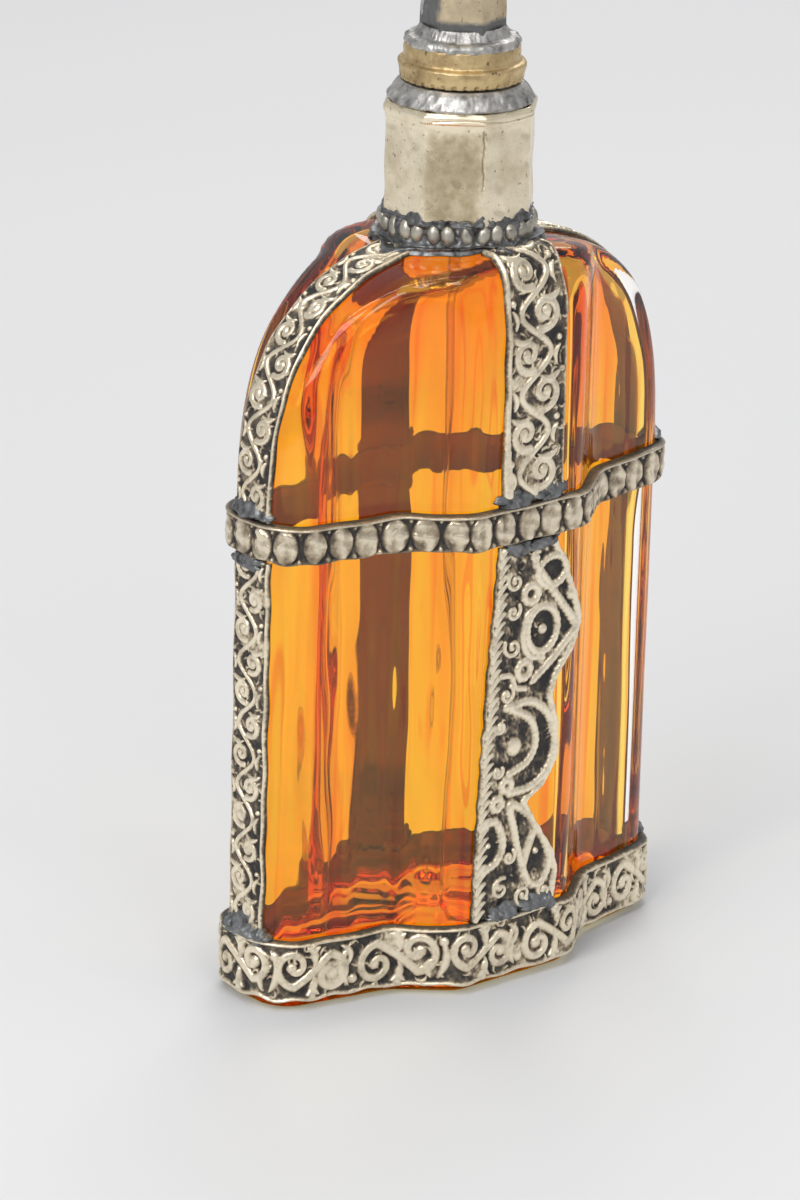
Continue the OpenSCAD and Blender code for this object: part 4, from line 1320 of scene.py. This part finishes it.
def make_stem():
    """A hexagonal sheet stem, its soldered seam and the cuff on top."""
    theta = circle(360)
    z = np.linspace(STEM_Z, STEM_TOP, 90)

    def outside(angle, r, h):
        dent = 0.09 * ring_noise(angle, h, 7, 91, 6) + 0.02 * ring_noise(angle, h, 1.8, 92, 6)
        return stem_radius(angle, h) - 0.05 + np.minimum(dent, 0.05)

    profile = np.column_stack([z * 0 + 1, z])
    bore = [(3.95, STEM_TOP), (3.95, STEM_Z + 4), (5.25, STEM_Z + 4), (5.25, STEM_Z)]
    grey_middle, grey_half = 160, 34    # degrees round the stem
    away = (np.degrees(theta) % 360 - grey_middle) / grey_half
    grey = np.exp(-np.abs(away + 0.12 * np.sin(z * 0.9)[:, None]) ** 6)
    foot = smoothstep(z, STEM_Z + 3.4, STEM_Z + 2.2)[:, None]
    grey = np.maximum(grey, foot + 0 * grey)
    grey = np.concatenate([grey, np.zeros((len(bore), len(theta)))])
    turned_piece("stem", "stem_shroud", profile, bore, outside, "stem", "closure", grey)

    height = np.linspace(STEM_Z + 0.3, STEM_TOP - 0.8, 80)
    phi = circle(24)
    seam = STEM_TURN + TAU / 3
    rows = []
    for k, h in enumerate(height):
        end = min(1, 4 * min(k + 0.5, len(height) - k - 0.5) / len(height))
        wide = (1.35 + 0.45 * math.sin(h * 1.1) + 0.3 * math.sin(h * 2.7 + 1)) * end
        deep = (0.42 + 0.1 * math.sin(h * 1.9)) * end
        r0 = stem_radius(np.array(seam), h) - 0.28
        x = r0 + deep * np.cos(phi)
        y = wide * np.sin(phi)
        x = x - 0.16 * np.abs(y) - 0.1 * y ** 2 * 0.6
        rows.append(np.column_stack([x * math.cos(seam) - y * math.sin(seam),
                                     x * math.sin(seam) + y * math.cos(seam), 0 * phi + h]))
    loft("stem_seam", rows, [M["solder"]], "closure", "stem_seam_solder", ring=False)

    cuff = spline([(5.35, STEM_TOP + 0.02), (5.95, STEM_TOP + 0.45), (6.2, STEM_TOP + 1.15),
                   (5.95, STEM_TOP + 1.8), (5.3, CUFF_TOP)], 26)

    def roped(angle, r, h):
        return r + 0.09 * np.cos(26 * angle + 2.2 * (h - STEM_TOP)) * (r > 5.6)

    bore = [(SLEEVE_R + 0.02, CUFF_TOP), (SLEEVE_R + 0.02, STEM_TOP + 0.02)]
    turned_piece("cuff", "stem_cuff", cuff, bore, roped, "brass", "closure")


# ---------- pressed head and pump ----------

def make_head():
    """A turned cap with gadroons, a beaded girdle and a countersunk nozzle in front."""
    theta = circle(360)
    z = HEAD_Z
    shape = spline([(5.4, z + 0.05), (5.85, z + 0.5), (5.85, z + 1.4), (5.45, z + 1.9),
                    (5.5, z + 2.7), (6.3, z + 3.6), (7.3, z + 5.2), (7.95, z + 7.0),
                    (HEAD_R - 0.05, z + 8.8), (7.95, z + 10.6), (7.35, z + 12.2),
                    (6.5, z + 13.6), (6.0, z + 14.2), (6.08, z + 14.9), (5.75, z + 15.7),
                    (4.7, z + 16.6), (3.0, z + 17.2), (1.3, z + 17.4), (0.12, HEAD_TOP - 0.03)], 200)
    relief = np.zeros((len(shape), len(theta)))

    def carve(angle, r, h):
        up = h - z
        lobes = smoothstep(up, 3.0, 4.6) * (1 - smoothstep(up, 12.2, 13.6))
        flute = 0.5 + 0.5 * np.cos(20 * angle)
        girdle = np.exp(-((up - 1.0) / 0.5) ** 2) * (0.5 + 0.5 * np.cos(34 * angle))
        petals = smoothstep(up, 14.9, 15.6) * (0.5 + 0.5 * np.cos(10 * angle)) * (r > 1.2)
        cut = lobes * (1 - flute ** 0.6) * 0.45 + (1 - girdle) * 0.12 * (up < 1.8) + 0.3 * petals
        relief[:] = np.clip(1 - cut / 0.42 * 0.85, 0, 1)
        side = (angle + math.pi / 2 + math.pi) % TAU - math.pi
        away = np.hypot(side * 8, h - NOZZLE_Z)
        pocket = 1 - smoothstep(away, 2.35, 2.65)
        rim = np.exp(-((away - 3.0) / 0.35) ** 2)
        body = r - cut * (1 - np.clip(rim + pocket, 0, 1))
        return body + (6.9 - body) * pocket

    rows = list(turned(shape, theta, carve))
    inner = [(0.12, HEAD_TOP - 2.5), (5.2, z + 13), (5.2, z + 5.6), (SLEEVE_R + 0.32, z + 5.6),
             (SLEEVE_R + 0.32, z + 0.05)]
    rows += list(turned(inner, theta))
    marks = np.concatenate([relief, np.full((len(inner), len(theta)), 0.4)])
    loft("head", rows, [M["relief"]], "head", "head_shell", relief=marks)


def make_spring():
    """The pump's return spring, as a fixed coil of wire."""
    low, high = span("return_spring")
    wire, radius, turns = 0.3, high[0] - 0.3, 7
    t = np.linspace(0, 1, turns * 40)
    z = low[2] + wire + (high[2] - low[2] - 2 * wire) * np.clip((t - 0.08) / 0.84, 0, 1)
    a = TAU * turns * t
    phi = circle(10)
    r = radius + wire * np.cos(phi)[None, :]
    rows = np.stack([r * np.cos(a)[:, None], r * np.sin(a)[:, None],
                     z[:, None] + wire * np.sin(phi)[None, :]], -1)[:, ::-1]
    spring = loft("pump_spring", rows, [M["steel"]], "pump_unit", "return_spring", ring=False)
    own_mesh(spring)


def finish_cad_nodes():
    """Gives the CAD nodes that stay visible their materials."""
    for node, material in CAD_FINISH.items():
        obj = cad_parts[node]
        if not obj.material_slots:
            obj.data.materials.append(M[material])
        for place in obj.material_slots:
            place.material = M[material]


# ---------- stage, light and camera ----------

def make_stage():
    """A wide pale floor; rays that come through the glass see it a little brighter."""
    mesh = bpy.data.meshes.new("floor")
    half = 6.0
    corners = [(-half, -half, 0), (half, -half, 0), (half, half, 0), (-half, half, 0)]
    mesh.from_pydata(corners, [], [[0, 1, 2, 3]])
    g = Graph("pale_floor")
    tone = g.mix(g.noise(3, 2), (0.74, 0.74, 0.745), (0.77, 0.77, 0.775))
    paper = g.add("BsdfPrincipled", {"Base Color": tone, "Roughness": 0.75,
                                     "Specular IOR Level": 0.2}).outputs[0]
    glow = g.add("Emission", {"Color": (1, 1, 1, 1), "Strength": FLOOR_GLOW}).outputs[0]
    path = g.add("LightPath").outputs
    mesh.materials.append(g.finish(
        g.add("MixShader", {"Fac": path["Is Transmission Ray"], 1: paper, 2: glow}).outputs[0]))
    floor = bpy.data.objects.new("floor", mesh)
    bpy.context.scene.collection.objects.link(floor)


def area_light(name, place, target, size, power):
    """A soft rectangular light at place that faces target."""
    data = bpy.data.lights.new(name, "AREA")
    data.shape = "RECTANGLE"
    data.size, data.size_y = size
    data.energy = power
    obj = bpy.data.objects.new(name, data)
    obj.location = place
    obj.rotation_mode = "QUATERNION"
    obj.rotation_quaternion = (Vector(target) - Vector(place)).to_track_quat("-Z", "Y")
    bpy.context.scene.collection.objects.link(obj)


def make_light():
    """A pale sky, four soft lights and the render settings that the glass needs."""
    scene = bpy.context.scene
    world = bpy.data.worlds.new("studio")
    world.use_nodes = True
    sky = world.node_tree.nodes["Background"].inputs
    sky["Color"].default_value = (1.0, 1.0, 1.01, 1)
    sky["Strength"].default_value = SKY
    scene.world = world
    middle = (0, 0, 0.08)
    area_light("window", (-0.75, -0.25, 0.75), middle, (0.5, 0.8), 4.9)
    area_light("softbox", (0.55, 0.5, 0.8), middle, (0.5, 0.6), 2.7)
    area_light("strip", (-0.12, -0.12, 1.0), middle, (0.9, 0.06), 1.0)
    area_light("fill", (-0.3, -0.95, 0.9), middle, (0.4, 0.3), 1.6)
    scene.view_settings.view_transform = "Standard"
    cycles = scene.cycles
    cycles.use_denoising = True
    cycles.max_bounces = 24
    cycles.transmission_bounces = 20
    cycles.glossy_bounces = 10
    cycles.transparent_max_bounces = 16
    cycles.caustics_reflective = False
    cycles.caustics_refractive = True


def make_camera():
    """Long lens above and to the left of the front, rolled a little."""
    azimuth, elevation, roll = (math.radians(a) for a in (-40.4956, 19.1495, 1.5489))
    distance, sideways, height = 0.905733, -0.0070834, 0.0565848
    right = Vector((math.cos(azimuth), math.sin(azimuth), 0))
    back = Vector((math.sin(azimuth) * math.cos(elevation),
                   -math.cos(azimuth) * math.cos(elevation), math.sin(elevation)))
    up = back.cross(right)
    x_axis = math.cos(roll) * right + math.sin(roll) * up
    y_axis = -math.sin(roll) * right + math.cos(roll) * up
    place = right * sideways + Vector((0, 0, height)) + back * distance
    data = bpy.data.cameras.new("camera")
    data.lens, data.sensor_width = 176.395, 36
    data.clip_start, data.clip_end = 0.05, 30
    camera = bpy.data.objects.new("camera", data)
    turn = Matrix((x_axis, y_axis, back)).transposed().to_4x4()
    camera.matrix_world = Matrix.Translation(place) @ turn
    bpy.context.scene.collection.objects.link(camera)
    bpy.context.scene.camera = camera


# ---------- making ----------

make_camera()
make_light()
make_stage()
make_glass()
band("base_band", paint_base, 0.72, "relief", 0.4)
band("belt_band", paint_belt, 0.7, "belt", 0.3)
make_straps()
make_joint_solder()
make_neck_solder()
make_beads()
make_collar()
make_closure()
make_stem()
make_head()
make_spring()
finish_cad_nodes()
